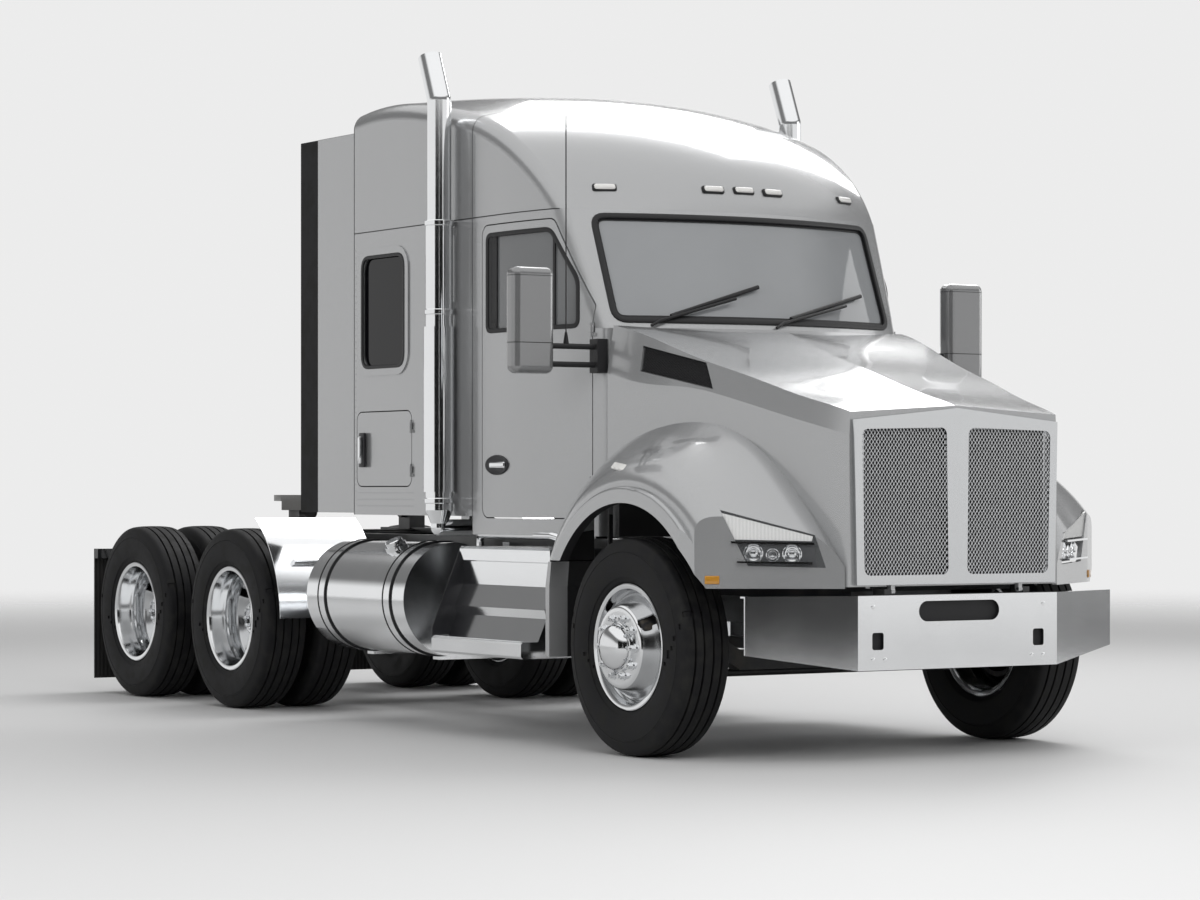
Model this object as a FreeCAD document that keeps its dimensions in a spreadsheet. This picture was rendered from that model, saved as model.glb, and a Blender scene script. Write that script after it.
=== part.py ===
"""Semi truck tractor unit with a raised-roof sleeper, as a parametric document.

Lengths are millimetres. +Z is up, the nose points to -Y and the truck's left side is +X.
Pieces are drawn with Y counted from the front axle. Each node's Placement then brings the
origin to the middle of the footprint on the ground.
"""
import FreeCAD
import Part
import Sketcher
import math
import os
from FreeCAD import Placement, Rotation, Vector

SIZES = {
    # Driving dimensions of the vehicle
    "front_overhang": 1045, "wheelbase": 4960, "rear_overhang": 1240, "tandem_spacing": 1320,
    "seat_gap": 0.3, "panel_gap": 6, "swing_gap": 8, "overcut": 1,
    # Tyres and wheels
    "tyre_radius": 526, "tyre_width": 280, "shoulder_drop": 14, "shoulder_width": 30,
    "bead_width": 214, "rim_radius": 286, "rim_flange": 306, "rim_width": 240, "rim_wall": 12,
    "disc_wall": 22, "steer_tyre_x": 1070, "steer_disc_out": 168, "hub_radius": 122,
    "hand_holes": 5, "hand_hole": 28, "hand_circle": 236, "disc_flat": 186, "cone_foot": 40,
    "cone_wall": 34, "wall_inset": 6, "wall_rise": 22, "wall_low": 110, "wall_high": 66,
    "shoulder_turn": 12, "hub_inset": 40, "hub_wall": 30, "hub_step": 6, "drum_floor": 30,
    "spindle_end": 2, "drive_hub_inset": 60, "drive_hub_wall": 40, "drive_flange": 30,
    "drive_cap_rim": 20, "drive_cap_step": 12, "drive_cap_turn": 34, "drive_cap_wall": 40,
    "hub_cap_radius": 112, "hub_cap_out": 72, "drum_radius": 205, "drum_wall": 24,
    "drum_length": 150, "outer_tyre_x": 1082, "dual_spacing": 344, "disc_flange": 168,
    "drive_hub_radius": 118, "drive_hub_out": 150, "spindle_radius": 42, "spindle_gap": 0.5,
    # Steering and front axle
    "kingpin_x": 880, "kingpin_radius": 20, "kingpin_gap": 0.05, "boss_radius": 44,
    "boss_height": 96, "yoke_wall": 34, "yoke_gap": 0.5, "arm_length": 205, "arm_drop": 128,
    "arm_width": 44, "arm_wall": 26, "ball_radius": 13, "ball_gap": 0.05, "tie_radius": 20,
    "beam_depth": 96, "beam_width": 92, "beam_drop": 78, "beam_low_half": 560,
    "beam_rise": 140, "yoke_room": 2, "yoke_back": 24, "arm_inset": 10, "arm_gap": 4,
    "eye_wall": 14, "eye_lip": 4,
    # Frame
    "rail_half": 432, "rail_height": 266, "rail_flange": 89, "rail_wall": 9, "rail_top": 1020,
    "rail_front": -760, "cross_depth": 150, "cross_length": 70, "horn_front": -1004,
    "horn_low": 560, "horn_gap": 2, "horn_drop": 30, "ear_depth": 60, "ear_gap": 3,
    "ear_rise": 10, "cross_gearbox": 140, "cross_tank": 60, "cross_rear": 160,
    "hanger_height": 60,
    # Springs and axle carriers
    "spring_x": 395, "spring_width": 76, "spring_half": 640, "spring_pack": 52,
    "spring_eye": 34, "axle_tube": 66, "housing_radius": 178, "housing_half": 96, "bag_radius": 132,
    "carrier_depth": 90, "carrier_ahead": 480, "carrier_behind": 330, "carrier_hanger": 80,
    "bag_inset": 60, "bag_behind": 250, "shaft_radius": 50, "shaft_rise": 105,
    "link_rise": 35, "tube_gap": 14, "spindle_short": 42,
    # Engine and radiator
    "engine_half": 330, "engine_low": 690, "engine_top": 1520, "engine_front": -560,
    "engine_rear": 330, "gearbox_half": 230, "gearbox_low": 610, "gearbox_rear": 1330,
    "gearbox_top": 1000, "foot_front": -260, "foot_rear": -120, "foot_low": 40,
    "foot_high": 160, "core_half": 470, "core_low": 800, "core_top": 1540, "core_wall": 80,
    # Cab and sleeper
    "cab_floor": 1045, "cab_rear": 1720, "cab_half": 1050, "cab_wall": 50, "belt": 2085,
    "seam": 2700, "cowl_front": 362, "cowl_bow": 0.31, "screen_front": 450, "screen_bow": 0.25,
    "screen_rake": 0.40, "pillar": 50, "screen_low": 2120, "screen_high": 2672,
    "glass_wall": 6, "glass_inset": 10, "door_front": 706, "door_rear": 1620,
    "door_low": 1130, "door_high": 2655, "door_bend": 2200, "door_lean": 264,
    "taper_start": 1450, "taper_run": 1110, "taper": 245.4, "corner_round": 95,
    "door_round": 60, "window_round": 48, "screen_round": 70, "bunk_round": 80,
    "surround_width": 45, "surround_out": 8, "hatch_round": 55,
    "window_front": 800, "window_rear": 1572, "window_low": 2095, "window_high": 2605,
    "window_bend": 2330, "window_lean": 200, "sleeper_rear": 3034, "sleeper_low": 1140,
    "bunk_window_front": 2448, "bunk_window_rear": 2928, "bunk_window_low": 1950,
    "bunk_window_high": 2560, "hatch_front": 2370, "hatch_rear": 3000, "hatch_low": 1293,
    "hatch_high": 1710, "hinge_radius": 6, "hinge_eye": 12, "hinge_length": 70, "hinge_gap": 0.1,
    "extender_depth": 433, "edge_depth": 223, "extender_low": 1150, "extender_high": 3260,
    "extender_wall": 30, "roof_wall": 40, "roof_side": -26, "roof_crown": 60,
    "side_start": 250, "hinge_low": 180, "hinge_high": 120, "hatch_hinge": 90,
    "mount_x": 390, "mount_width": 70, "mount_depth": 90, "mount_front": 760,
    "mount_rear": 1500, "mount_back": 200, "screen_plan": 600, "door_clear": 4,
    # Hood
    "hood_rear": 340, "hood_bow": 0.31, "hood_wall": 25, "nose": -1012, "hood_low": 828,
    "hood_half_front": 612, "hood_half_rear": 897, "hood_shoulder_end": 597, "hood_crown": 36,
    "flank_out": 25, "vent_depth": 14, "crest_x": 850, "lip_x": 1200, "band_round": 18,
    "fender_half": 1226, "fender_rear": 586, "arch_radius": 690, "lip_band": 98, "fender_low": 820,
    "fender_split": 930, "fender_tail": 712, "fender_tuck": 28, "pivot_y": -1020, "pivot_z": 806,
    "pivot_radius": 8, "pivot_eye": 14, "pivot_x": 380, "pivot_plate": 22,
    "grille_half": 556, "grille_low": 850, "grille_high": 1590, "grille_wall": 22,
    "grille_out": 22, "grille_top_half": 606, "grille_foot_half": 590, "grille_foot": 836,
    "grille_corner": 1604, "grille_peak": 1664, "grille_edge": 44, "grille_bar": 56,
    "grille_round": 34,
    "lamp_depth": 70, "lamp_out": 12, "flank_start": 6, "vent_round": 10, "well_inner": 540,
    # Bumper
    "bumper_half": 593, "bumper_end": 1093, "bumper_sweep": 194, "bumper_low": 440,
    "bumper_high": 787, "bumper_end_low": 516, "bumper_wall": 8, "bumper_flange": 30,
    "slot_half": 239, "slot_low": 662, "slot_high": 758, "tow_x": 478, "tow_z": 575,
    "tow_half": 33, "tow_rise": 40, "tow_round": 12, "bracket_low": 20, "bracket_high": 100,
    # Side equipment
    "step_front": 890, "step_rear": 1800, "step_top": 980, "step_low": 430, "step_edge": 1080,
    "step_half": 1250, "tread_wall": 42, "box_inner": 640, "tank_gap": 367,
    "riser_out": 1060, "riser_low": 786, "ledge_out": 1112, "ledge_high": 672,
    "ledge_low": 628, "tread_in": 1150, "tread_edge": 75, "step_bevel": 12,
    "tread_bevel": 10, "step_arm_in": 160, "step_arm_low": 110, "step_arm_high": 20,
    "tail_in": 60, "tail_out": 20, "strap_in": 150, "tank_arm_drop": 26,
    "tank_arm_rise": 20, "tank_post": 40, "tank_post_drop": 30,
    "tank_room": 321, "tank_x": 910, "tank_z": 690, "tank_radius": 305, "strap_width": 70,
    "strap_wall": 6, "stack_out": 83, "stack_y": 1925, "stack_radius": 72, "pipe_radius": 63.5,
    "stack_joint": 2689, "stack_bend": 3330, "stack_tip": 3590, "shield_radius": 82,
    "shield_low": 1266, "shield_high": 2137, "elbow_z": 1078, "elbow_radius": 44,
    "stack_neck": 70, "neck_gap": 20, "stack_foot_x": 380, "stack_foot": 60,
    "stack_foot_depth": 80, "stay_width": 44, "stay_height": 40,
    "quarter_radius": 694, "quarter_wall": 5, "quarter_inner": 570, "quarter_outer": 1220,
    "quarter_reach": 57, "flap_inner": 600, "flap_outer": 1220, "flap_low": 88,
    "flap_high": 905, "flap_wall": 12, "hanger_depth": 46, "mirror_gap": 175,
    "mirror_width": 237, "mirror_low": 1850, "mirror_high": 2376, "mirror_front": 592,
    "mirror_rear": 700, "mirror_round": 40, "mirror_arm": 14, "mirror_arm_y": 652,
    "mirror_arm_low": 1900, "mirror_arm_high": 1990, "bracket_y": 614,
    "bracket_depth": 76, "bracket_z": 1860, "bracket_height": 170, "quarter_bar": 18,
    "quarter_bar_gap": 14, "quarter_bar_in": 120, "quarter_foot": 20,
    # Fifth wheel
    "plate_half": 470, "plate_front": 470, "plate_rear": 430, "plate_top": 1245,
    "plate_wall": 38, "kingpin_bore": 25.4, "trunnion_z": 1150, "trunnion_radius": 22,
    "trunnion_gap": 0.1, "trunnion_eye": 46, "lug_wall": 30, "lug_x": 300, "skirt_wall": 22,
    "skirt_low": 1152, "saddle_half": 70, "saddle_rise": 30, "saddle_foot": 330,
    "saddle_foot_wall": 22, "saddle_base": 120, "saddle_base_wall": 12, "saddle_gap": 1,
    # Inside
    "seat_x": 490, "seat_half": 255, "seat_front": 1120, "seat_depth": 520, "seat_top": 1530,
    "seat_back": 2260, "wheel_ring": 230, "ring_radius": 16, "bunk_front": 2180,
    "dash_half": 800, "bunk_low": 1760, "bunk_top": 1900, "bunk_gap": 20,
}

doc = FreeCAD.newDocument("TractorUnit")
sheet = doc.addObject("Spreadsheet::Sheet", "Sizes")
for row, (word, value) in enumerate(SIZES.items(), start=1):
    sheet.set("A%d" % row, word)
    sheet.set("B%d" % row, str(value))
    sheet.setAlias("B%d" % row, word)
doc.recompute()


class Size:
    """A length from the sheet, or a sum of such lengths, with the formula that gives it."""

    def __init__(self, value, text):
        self.value = value
        self.text = text

    def joined(self, other, sign, value):
        return Size(value, "(%s %s %s)" % (self.text, sign, size(other).text))

    def __float__(self):
        return float(self.value)

    def __add__(self, other):
        return self.joined(other, "+", self.value + float(other))

    def __radd__(self, other):
        return size(other) + self

    def __sub__(self, other):
        return self.joined(other, "-", self.value - float(other))

    def __rsub__(self, other):
        return size(other) - self

    def __mul__(self, other):
        return self.joined(other, "*", self.value * float(other))

    def __rmul__(self, other):
        return size(other) * self

    def __truediv__(self, other):
        return self.joined(other, "/", self.value / float(other))

    def __neg__(self):
        return size(0) - self


def size(thing):
    """The sheet's value of a word, or a plain number as a Size."""
    if isinstance(thing, Size):
        return thing
    if isinstance(thing, str):
        return Size(float(sheet.get(thing)), "Sizes." + thing)
    return Size(float(thing), repr(float(thing)))


class Sheet:
    """Gives each size of the sheet as an attribute."""

    def __getattr__(self, word):
        return size(word)


s = Sheet()
length = s.front_overhang + s.wheelbase + s.rear_overhang
front_axle_y = s.front_overhang - length / 2
drive_axles_y = (s.wheelbase - s.tandem_spacing / 2, s.wheelbase + s.tandem_spacing / 2)
tank_front = s.step_rear + s.tank_gap
tank_rear = drive_axles_y[0] - s.quarter_radius - s.tank_room
nodes = []


def bind(thing, path, amount):
    """Ties a property to the sheet."""
    thing.setExpression(path, size(amount).text)


def place(thing, x, y, z):
    for axis, amount in zip("xyz", (x, y, z)):
        bind(thing, "Placement.Base." + axis, amount)


def block(name, x, y, z):
    """A box between two values on each axis."""
    box = doc.addObject("Part::Box", name)
    for side, (low, high) in zip(("Length", "Width", "Height"), (x, y, z)):
        bind(box, side, size(high) - low)
    place(box, x[0], y[0], z[0])
    return box


# Each cylinder is also turned on its own axis, so that no piece crosses its seam.
SEAM = Rotation(Vector(0, 0, 1), 37)
TURNS = {
    "x": Rotation(Vector(0, 1, 0), 90).multiply(SEAM),
    "y": Rotation(Vector(1, 0, 0), -90).multiply(SEAM), "z": SEAM,
}


def rod(name, axis, radius, start, extent):
    """A cylinder along an axis, from its start point."""
    bar = doc.addObject("Part::Cylinder", name)
    bind(bar, "Radius", radius)
    bind(bar, "Height", extent)
    bar.Placement = Placement(Vector(), TURNS[axis])
    place(bar, *start)
    return bar


def fuse(name, things):
    joined = doc.addObject("Part::MultiFuse", name)
    joined.Shapes = things
    joined.Refine = True
    return joined


def cut(name, base, tool):
    left = doc.addObject("Part::Cut", name)
    left.Base = base
    left.Tool = tool
    left.Refine = True
    return left


def mirror(name, source):
    """The same piece on the other side of the truck."""
    copy = doc.addObject("Part::Mirroring", name)
    copy.Source = source
    copy.Base = Vector(0, 0, 0)
    copy.Normal = Vector(1, 0, 0)
    return copy


def feature(name, shape):
    """A piece whose shape is drawn directly."""
    thing = doc.addObject("Part::Feature", name)
    thing.Shape = shape
    return thing


def node(label, things):
    """A sub-part of the vehicle, moved from the front axle's frame to the vehicle's own."""
    group = doc.addObject("Part::Compound", "node_" + label)
    group.Label = label
    group.Links = things
    bind(group, "Placement.Base.y", front_axle_y)
    nodes.append(group)
    return group


def both(label, thing):
    """One node with a piece and its mirror image."""
    return node(label, [thing, mirror(label + "_other", thing)])


def origin_plane(body, role):
    return next(part for part in body.Origin.OriginFeatures if part.Role == role)


def outline(body, name, role, points, offset=0):
    """A closed sketch of straight lines with every corner tied to the sheet."""
    sketch = body.newObject("Sketcher::SketchObject", name)
    sketch.AttachmentSupport = [(origin_plane(body, role), "")]
    sketch.MapMode = "FlatFace"
    bind(sketch, "AttachmentOffset.Base.z", offset)
    corners = [Vector(float(size(a)), float(size(b)), 0) for a, b in points]
    count = len(corners)
    for index in range(count):
        sketch.addGeometry(Part.LineSegment(corners[index], corners[(index + 1) % count]))
    for index in range(count):
        sketch.addConstraint(Sketcher.Constraint("Coincident", index, 2, (index + 1) % count, 1))
    for index, (a, b) in enumerate(points):
        for kind, amount in (("DistanceX", a), ("DistanceY", b)):
            rule = Sketcher.Constraint(kind, -1, 1, index, 1, float(size(amount)))
            bind(sketch, "Constraints[%d]" % sketch.addConstraint(rule), amount)
    return sketch


def plate(name, role, points, start, end):
    """A flat piece of any outline, between two heights over its plane."""
    body = doc.addObject("PartDesign::Body", name)
    pad = body.newObject("PartDesign::Pad", name + "_pad")
    pad.Profile = outline(body, name + "_outline", role, points, start)
    bind(pad, "Length", size(end) - start)
    return body


def turned(name, points):
    """A piece turned about the X axis: points are a distance along it and a radius."""
    body = doc.addObject("PartDesign::Body", name)
    sketch = outline(body, name + "_outline", "XY_Plane", points)
    spin = body.newObject("PartDesign::Revolution", name + "_turn")
    spin.Profile = sketch
    spin.ReferenceAxis = (sketch, ["H_Axis"])
    spin.Angle = 360
    return body


def turned_at(name, points, x, y, z):
    body = turned(name, points)
    place(body, x, y, z)
    return body


def numbers(*things):
    return [float(size(thing)) for thing in things]


def polygon(points):
    """A flat face from its corners."""
    corners = [Vector(*point) for point in points]
    return Part.Face(Part.makePolygon(corners + corners[:1]))


def prism_x(points, x0, x1):
    """Corners given as (y, z), drawn out along X."""
    face = polygon([(x0, y, z) for y, z in points])
    return face.extrude(Vector(x1 - x0, 0, 0))


def prism_z(points, z0, z1):
    """Corners given as (x, y), drawn out along Z."""
    face = polygon([(x, y, z0) for x, y in points])
    return face.extrude(Vector(0, 0, z1 - z0))


def prism_y(points, y0, y1):
    """Corners given as (x, z), drawn out along Y."""
    face = polygon([(x, y0, z) for x, z in points])
    return face.extrude(Vector(0, y1 - y0, 0))


def spline(points):
    curve = Part.BSplineCurve()
    curve.interpolate([Vector(*point) for point in points])
    return curve.toShape()


def line(start, end):
    return Part.makeLine(Vector(*start), Vector(*end))


def bowed_front(front, bow, half, z0, z1, rake, back):
    """A solid behind a bowed front: Y is front + bow * x * x / 1000, raked back with height."""
    rise = z1 - z0
    middle = (0, front, z0)
    side = front + bow * half * half / 1000
    quarter = front + bow * half * half / 4000
    curve = spline([(-half, side, z0), (-half / 2, quarter, z0), middle,
                    (half / 2, quarter, z0), (half, side, z0)])
    rest = Part.makePolygon([Vector(half, side, z0), Vector(half, back, z0),
                             Vector(-half, back, z0), Vector(-half, side, z0)])
    face = Part.Face(Part.Wire([curve] + rest.Edges))
    return face.extrude(Vector(0, rake * rise, rise))


def reflected(shape):
    return shape.mirror(Vector(0, 0, 0), Vector(1, 0, 0))


def rounded(prism, radius, axis):
    """A prism with its edges along one axis rounded."""
    way = Vector(*axis)
    long_edges = [edge for edge in prism.Edges
                  if abs(edge.tangentAt(edge.FirstParameter).dot(way)) > 0.999]
    return prism.makeFillet(radius, long_edges)


# Frame: two channel rails, their cross members, the front horns and the flap hangers.

def make_frame():
    inner = s.rail_half - s.rail_wall
    low = s.rail_top - s.rail_height
    end = s.wheelbase + s.rear_overhang - s.flap_wall - s.seat_gap
    section = [
        (s.rail_half, low), (s.rail_half, s.rail_top), (s.rail_half - s.rail_flange, s.rail_top),
        (s.rail_half - s.rail_flange, s.rail_top - s.rail_wall), (inner, s.rail_top - s.rail_wall),
        (inner, low + s.rail_wall), (s.rail_half - s.rail_flange, low + s.rail_wall),
        (s.rail_half - s.rail_flange, low),
    ]
    rail = plate("rail", "XZ_Plane", section, -end, -s.rail_front)
    cross_z = (s.rail_top - s.rail_wall - s.cross_depth, s.rail_top - s.rail_wall)
    crosses = []
    places = (s.rail_front, s.gearbox_rear + s.cross_gearbox, tank_front + s.cross_tank,
              tank_rear + s.cross_rear,
              s.wheelbase - s.cross_length / 2, end - s.cross_length)
    for index, y in enumerate(places):
        span = (y, y + s.cross_length)
        crosses.append(block("cross_%d" % index, (-inner, inner), span, cross_z))
    horn = block("horn", (s.pivot_x + s.pivot_plate / 2 + s.horn_gap, s.rail_half),
                 (s.horn_front, s.rail_front), (s.horn_low, s.pivot_z - s.horn_drop))
    ear = block("horn_ear", (s.pivot_x + s.pivot_plate / 2 + s.horn_gap, s.rail_half),
                (s.pivot_y - s.pivot_eye, s.horn_front + s.ear_depth),
                (s.bumper_high + s.ear_gap, s.pivot_z + s.ear_rise))
    neck = block("horn_neck", (s.pivot_x + s.pivot_plate / 2 + s.horn_gap, s.rail_half),
                 (s.horn_front, s.horn_front + s.ear_depth), (s.horn_low, s.pivot_z))
    pin = rod("hood_pin", "x", s.pivot_radius,
              (s.pivot_x - s.pivot_plate / 2, s.pivot_y, s.pivot_z),
              s.rail_half - s.pivot_x + s.pivot_plate / 2)
    hanger = block("flap_hanger", (s.rail_half, s.flap_outer),
                   (end - s.hanger_depth, end), (s.flap_high - s.hanger_height, s.flap_high))
    side = [rail, horn, ear, neck, pin, hanger]
    others = [mirror(thing.Name + "_other", thing) for thing in side]
    node("frame_rails", [fuse("frame", side + others + crosses)])


# Front axle: a dropped beam that ends in the kingpin bosses.

def make_front_axle():
    z = s.tyre_radius
    top = z + s.beam_depth / 2
    low = z - s.beam_depth / 2
    inner = s.kingpin_x - s.boss_radius / 2
    rise = s.beam_low_half + s.beam_rise
    drop = s.beam_drop
    beam = plate("axle_beam", "XZ_Plane", [
        (-inner, low), (-rise, low), (-s.beam_low_half, low - drop),
        (s.beam_low_half, low - drop), (rise, low), (inner, low), (inner, top), (rise, top),
        (s.beam_low_half, top - drop), (-s.beam_low_half, top - drop), (-rise, top),
        (-inner, top),
    ], -s.beam_width / 2, s.beam_width / 2)
    boss = rod("axle_boss", "z", s.boss_radius, (s.kingpin_x, 0, z - s.boss_height / 2),
               s.boss_height)
    other = mirror("axle_boss_other", boss)
    node("front_axle", [fuse("front_axle_all", [beam, boss, other])])


def make_knuckles():
    """Yoke, kingpin, spindle and steering arm that turn about the kingpin."""
    z = s.tyre_radius
    x = s.kingpin_x
    reach = s.boss_height / 2 + s.yoke_gap
    top = reach + s.yoke_wall
    back = s.boss_radius + s.yoke_gap + s.yoke_room
    yoke = block("yoke", (x - s.boss_radius, x + back + s.yoke_back),
                 (-s.boss_radius, s.boss_radius),
                 (z - top, z + top))
    space = block("yoke_space", (x - s.boss_radius - s.overcut, x + back),
                  (-s.boss_radius - s.overcut, s.boss_radius + s.overcut),
                  (z - reach, z + reach))
    pin = rod("kingpin", "z", s.kingpin_radius - s.kingpin_gap, (x, 0, z - top), top * 2)
    hub_end = s.steer_tyre_x + s.steer_disc_out
    spindle = rod("spindle", "x", s.spindle_radius, (x + back, 0, z),
                  hub_end - x - back)
    arm_top = z - s.arm_drop + s.arm_wall
    arm = block("steer_arm", (x - s.arm_width / 2, x + s.arm_width / 2),
                (-s.boss_radius + s.arm_inset, s.arm_length + s.arm_width / 2),
                (z - s.arm_drop, arm_top))
    leg = block("steer_arm_leg", (x - s.arm_width / 2, x + s.arm_width / 2),
                (-s.boss_radius + s.arm_inset, s.boss_radius),
                (z - s.arm_drop, z - reach - s.arm_gap))
    ball = rod("ball_pin", "z", s.ball_radius - s.ball_gap,
               (x, s.arm_length, z - s.arm_drop - s.tie_radius * 2), s.tie_radius * 2)
    carved = cut("yoke_open", yoke, space)
    left = fuse("knuckle", [carved, pin, spindle, arm, leg, ball])
    node("steering_knuckle_left", [left])
    node("steering_knuckle_right", [mirror("knuckle_other", left)])


def bore_kingpins():
    """The beam's bosses are bored for the kingpins."""
    beam = doc.getObject("front_axle_all")
    z = s.tyre_radius
    bore = rod("kingpin_bore_left", "z", s.kingpin_radius,
               (s.kingpin_x, 0, z - s.boss_height), s.boss_height * 2)
    first = cut("front_axle_bored", beam, bore)
    second = cut("front_axle_done", first, mirror("kingpin_bore_right", bore))
    doc.getObject("node_front_axle").Links = [second]


def make_tie_rod():
    z = s.tyre_radius - s.arm_drop - s.tie_radius - s.eye_lip - s.seat_gap
    eye_radius = s.ball_radius + s.eye_wall
    bar = rod("tie_bar", "x", s.tie_radius, (-s.kingpin_x, s.arm_length, z), s.kingpin_x * 2)
    eye = rod("tie_eye", "z", eye_radius, (s.kingpin_x, s.arm_length, z - s.tie_radius - s.eye_lip),
              (s.tie_radius + s.eye_lip) * 2)
    hole = rod("tie_hole", "z", s.ball_radius,
               (s.kingpin_x, s.arm_length, z - s.tie_radius * 2), s.tie_radius * 4)
    body = fuse("tie_solid", [bar, eye, mirror("tie_eye_other", eye)])
    first = cut("tie_bored", body, hole)
    node("tie_rod", [cut("tie_rod_done", first, mirror("tie_hole_other", hole))])


# Tyres and wheels, turned about the axle.

def tyre_points(middle):
    half = s.tyre_width / 2
    bead = s.bead_width / 2
    fit = s.rim_radius + s.seat_gap
    over = s.rim_flange + s.seat_gap
    return [
        (middle - bead, fit), (middle + bead, fit), (middle + bead, over),
        (middle + half - s.wall_inset, over + s.wall_rise),
        (middle + half, fit + s.wall_low), (middle + half, s.tyre_radius - s.wall_high),
        (middle + half - s.shoulder_width / 2, s.tyre_radius - s.shoulder_drop - s.shoulder_turn),
        (middle + half - s.shoulder_width, s.tyre_radius - s.shoulder_drop / 3),
        (middle + half - s.shoulder_width * 2, s.tyre_radius),
        (middle - half + s.shoulder_width * 2, s.tyre_radius),
        (middle - half + s.shoulder_width, s.tyre_radius - s.shoulder_drop / 3),
        (middle - half + s.shoulder_width / 2, s.tyre_radius - s.shoulder_drop - s.shoulder_turn),
        (middle - half, s.tyre_radius - s.wall_high), (middle - half, fit + s.wall_low),
        (middle - half + s.wall_inset, over + s.wall_rise), (middle - bead, over),
    ]


def rim_points(middle, offset, sense):
    """Rim, cone and disc in one outline: the disc stands off the rim's middle to one side."""
    well = s.rim_radius - s.rim_wall
    joint = well - s.rim_wall / 2
    bore = s.spindle_radius + 20
    wall = s.rim_wall * sense
    back = middle - s.rim_width / 2 * sense
    front = middle + s.rim_width / 2 * sense
    inside = middle + (offset - s.disc_wall) * sense
    outside = middle + offset * sense
    return [
        (back, s.rim_flange), (back, well), (middle + s.cone_foot * sense, joint),
        (inside, s.disc_flat), (inside, bore), (outside, bore),
        (outside, s.disc_flat + s.rim_wall),
        (middle + (s.cone_foot + s.cone_wall) * sense, joint), (front, well),
        (front, s.rim_flange), (front - wall, s.rim_flange), (front - wall, s.rim_radius),
        (back + wall, s.rim_radius), (back + wall, s.rim_flange),
    ]


def hand_holes(name, start, depth, y, z):
    """A ring of rods that opens the hand holes between a wheel's hub and its rim."""
    rods = []
    count = int(float(s.hand_holes))
    for index in range(count):
        angle = 2 * math.pi * index / count
        centre = (start, y + s.hand_circle * math.cos(angle), z + s.hand_circle * math.sin(angle))
        rods.append(rod("%s_hole_%d" % (name, index), "x", s.hand_hole, centre, depth))
    return fuse(name + "_holes", rods)


# The hub cap's dome: shares of its height and of its radius.
HUB_DOME = ((0.12, 1.0), (0.5, 0.95), (0.8, 0.74), (0.95, 0.42))


def make_steer_wheels():
    z = s.tyre_radius
    middle = s.steer_tyre_x
    disc = middle + s.steer_disc_out - s.disc_wall
    tyre = turned_at("steer_tyre", tyre_points(middle), 0, 0, z)
    rim = turned_at("steer_rim", rim_points(middle, s.steer_disc_out, 1), 0, 0, z)
    fit = s.spindle_radius + s.spindle_gap
    drum_in = disc - s.drum_length
    cap = disc + s.disc_wall
    dome = [(cap + s.hub_cap_out * share, s.hub_cap_radius * round)
            for share, round in HUB_DOME]
    hub = turned_at("steer_hub", [
        (drum_in + s.hub_inset, fit), (drum_in + s.hub_inset, fit + s.hub_wall),
        (disc - s.drum_floor, fit + s.hub_wall),
        (disc - s.drum_floor, s.drum_radius - s.drum_wall), (drum_in, s.drum_radius - s.drum_wall),
        (drum_in, s.drum_radius), (disc, s.drum_radius), (disc, s.hub_radius),
        (cap + s.hub_step, s.hub_radius), (cap + s.hub_step, s.hub_cap_radius),
        *dome, (cap + s.hub_cap_out, 0), (cap + s.spindle_end, 0), (cap + s.spindle_end, fit),
    ], 0, 0, z)
    holes = hand_holes("steer", middle + s.cone_foot / 2, s.steer_disc_out, 0, z)
    wheel = fuse("steer_wheel", [cut("steer_rim_open", rim, holes), hub])
    node("front_tyre_left", [tyre])
    node("front_wheel_left", [wheel])
    node("front_tyre_right", [mirror("steer_tyre_other", tyre)])
    node("front_wheel_right", [mirror("steer_wheel_other", wheel)])


def make_drive_wheels():
    z = s.tyre_radius
    outer = s.outer_tyre_x
    inner = s.outer_tyre_x - s.dual_spacing
    face = outer - s.disc_flange
    fit = s.spindle_radius + s.spindle_gap
    drum_in = face - s.disc_wall - s.drum_length
    cap = face + s.drive_hub_out
    for row, y in zip(("fore", "aft"), drive_axles_y):
        tyres = [turned_at(row + "_tyre_outer", tyre_points(outer), 0, y, z),
                 turned_at(row + "_tyre_inner", tyre_points(inner), 0, y, z)]
        rims = [turned_at(row + "_rim_outer", rim_points(outer, s.disc_flange, -1), 0, y, z),
                turned_at(row + "_rim_inner",
                          rim_points(inner, s.dual_spacing - s.disc_flange, 1), 0, y, z)]
        hub = turned_at(row + "_hub", [
            (drum_in + s.drive_hub_inset, fit),
            (drum_in + s.drive_hub_inset, fit + s.drive_hub_wall),
            (face - s.disc_wall - s.drum_floor, fit + s.drive_hub_wall),
            (face - s.disc_wall - s.drum_floor, s.drum_radius - s.drum_wall),
            (drum_in, s.drum_radius - s.drum_wall), (drum_in, s.drum_radius),
            (face - s.disc_wall, s.drum_radius),
            (face - s.disc_wall, s.drive_hub_radius + s.drive_flange),
            (face + s.disc_wall, s.drive_hub_radius + s.drive_flange),
            (face + s.disc_wall, s.drive_hub_radius),
            (cap - s.drive_cap_rim, s.drive_hub_radius - s.drive_cap_step),
            (cap, s.drive_hub_radius - s.drive_cap_turn), (cap, 0),
            (cap - s.drive_cap_wall, 0), (cap - s.drive_cap_wall, fit),
        ], 0, y, z)
        holes = hand_holes(row, inner + s.cone_foot / 2, s.dual_spacing - s.cone_foot, y, z)
        discs = cut(row + "_rims_open", fuse(row + "_rims", rims), holes)
        pair = fuse(row + "_wheel", [discs, hub])
        tyre_name = "drive_tyres_%s_%s"
        wheel_name = "drive_wheels_%s_%s"
        node(tyre_name % (row, "left"), tyres)
        node(wheel_name % (row, "left"), [pair])
        node(tyre_name % (row, "right"), [mirror(thing.Name + "_other", thing) for thing in tyres])
        node(wheel_name % (row, "right"), [mirror(pair.Name + "_other", pair)])


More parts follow.
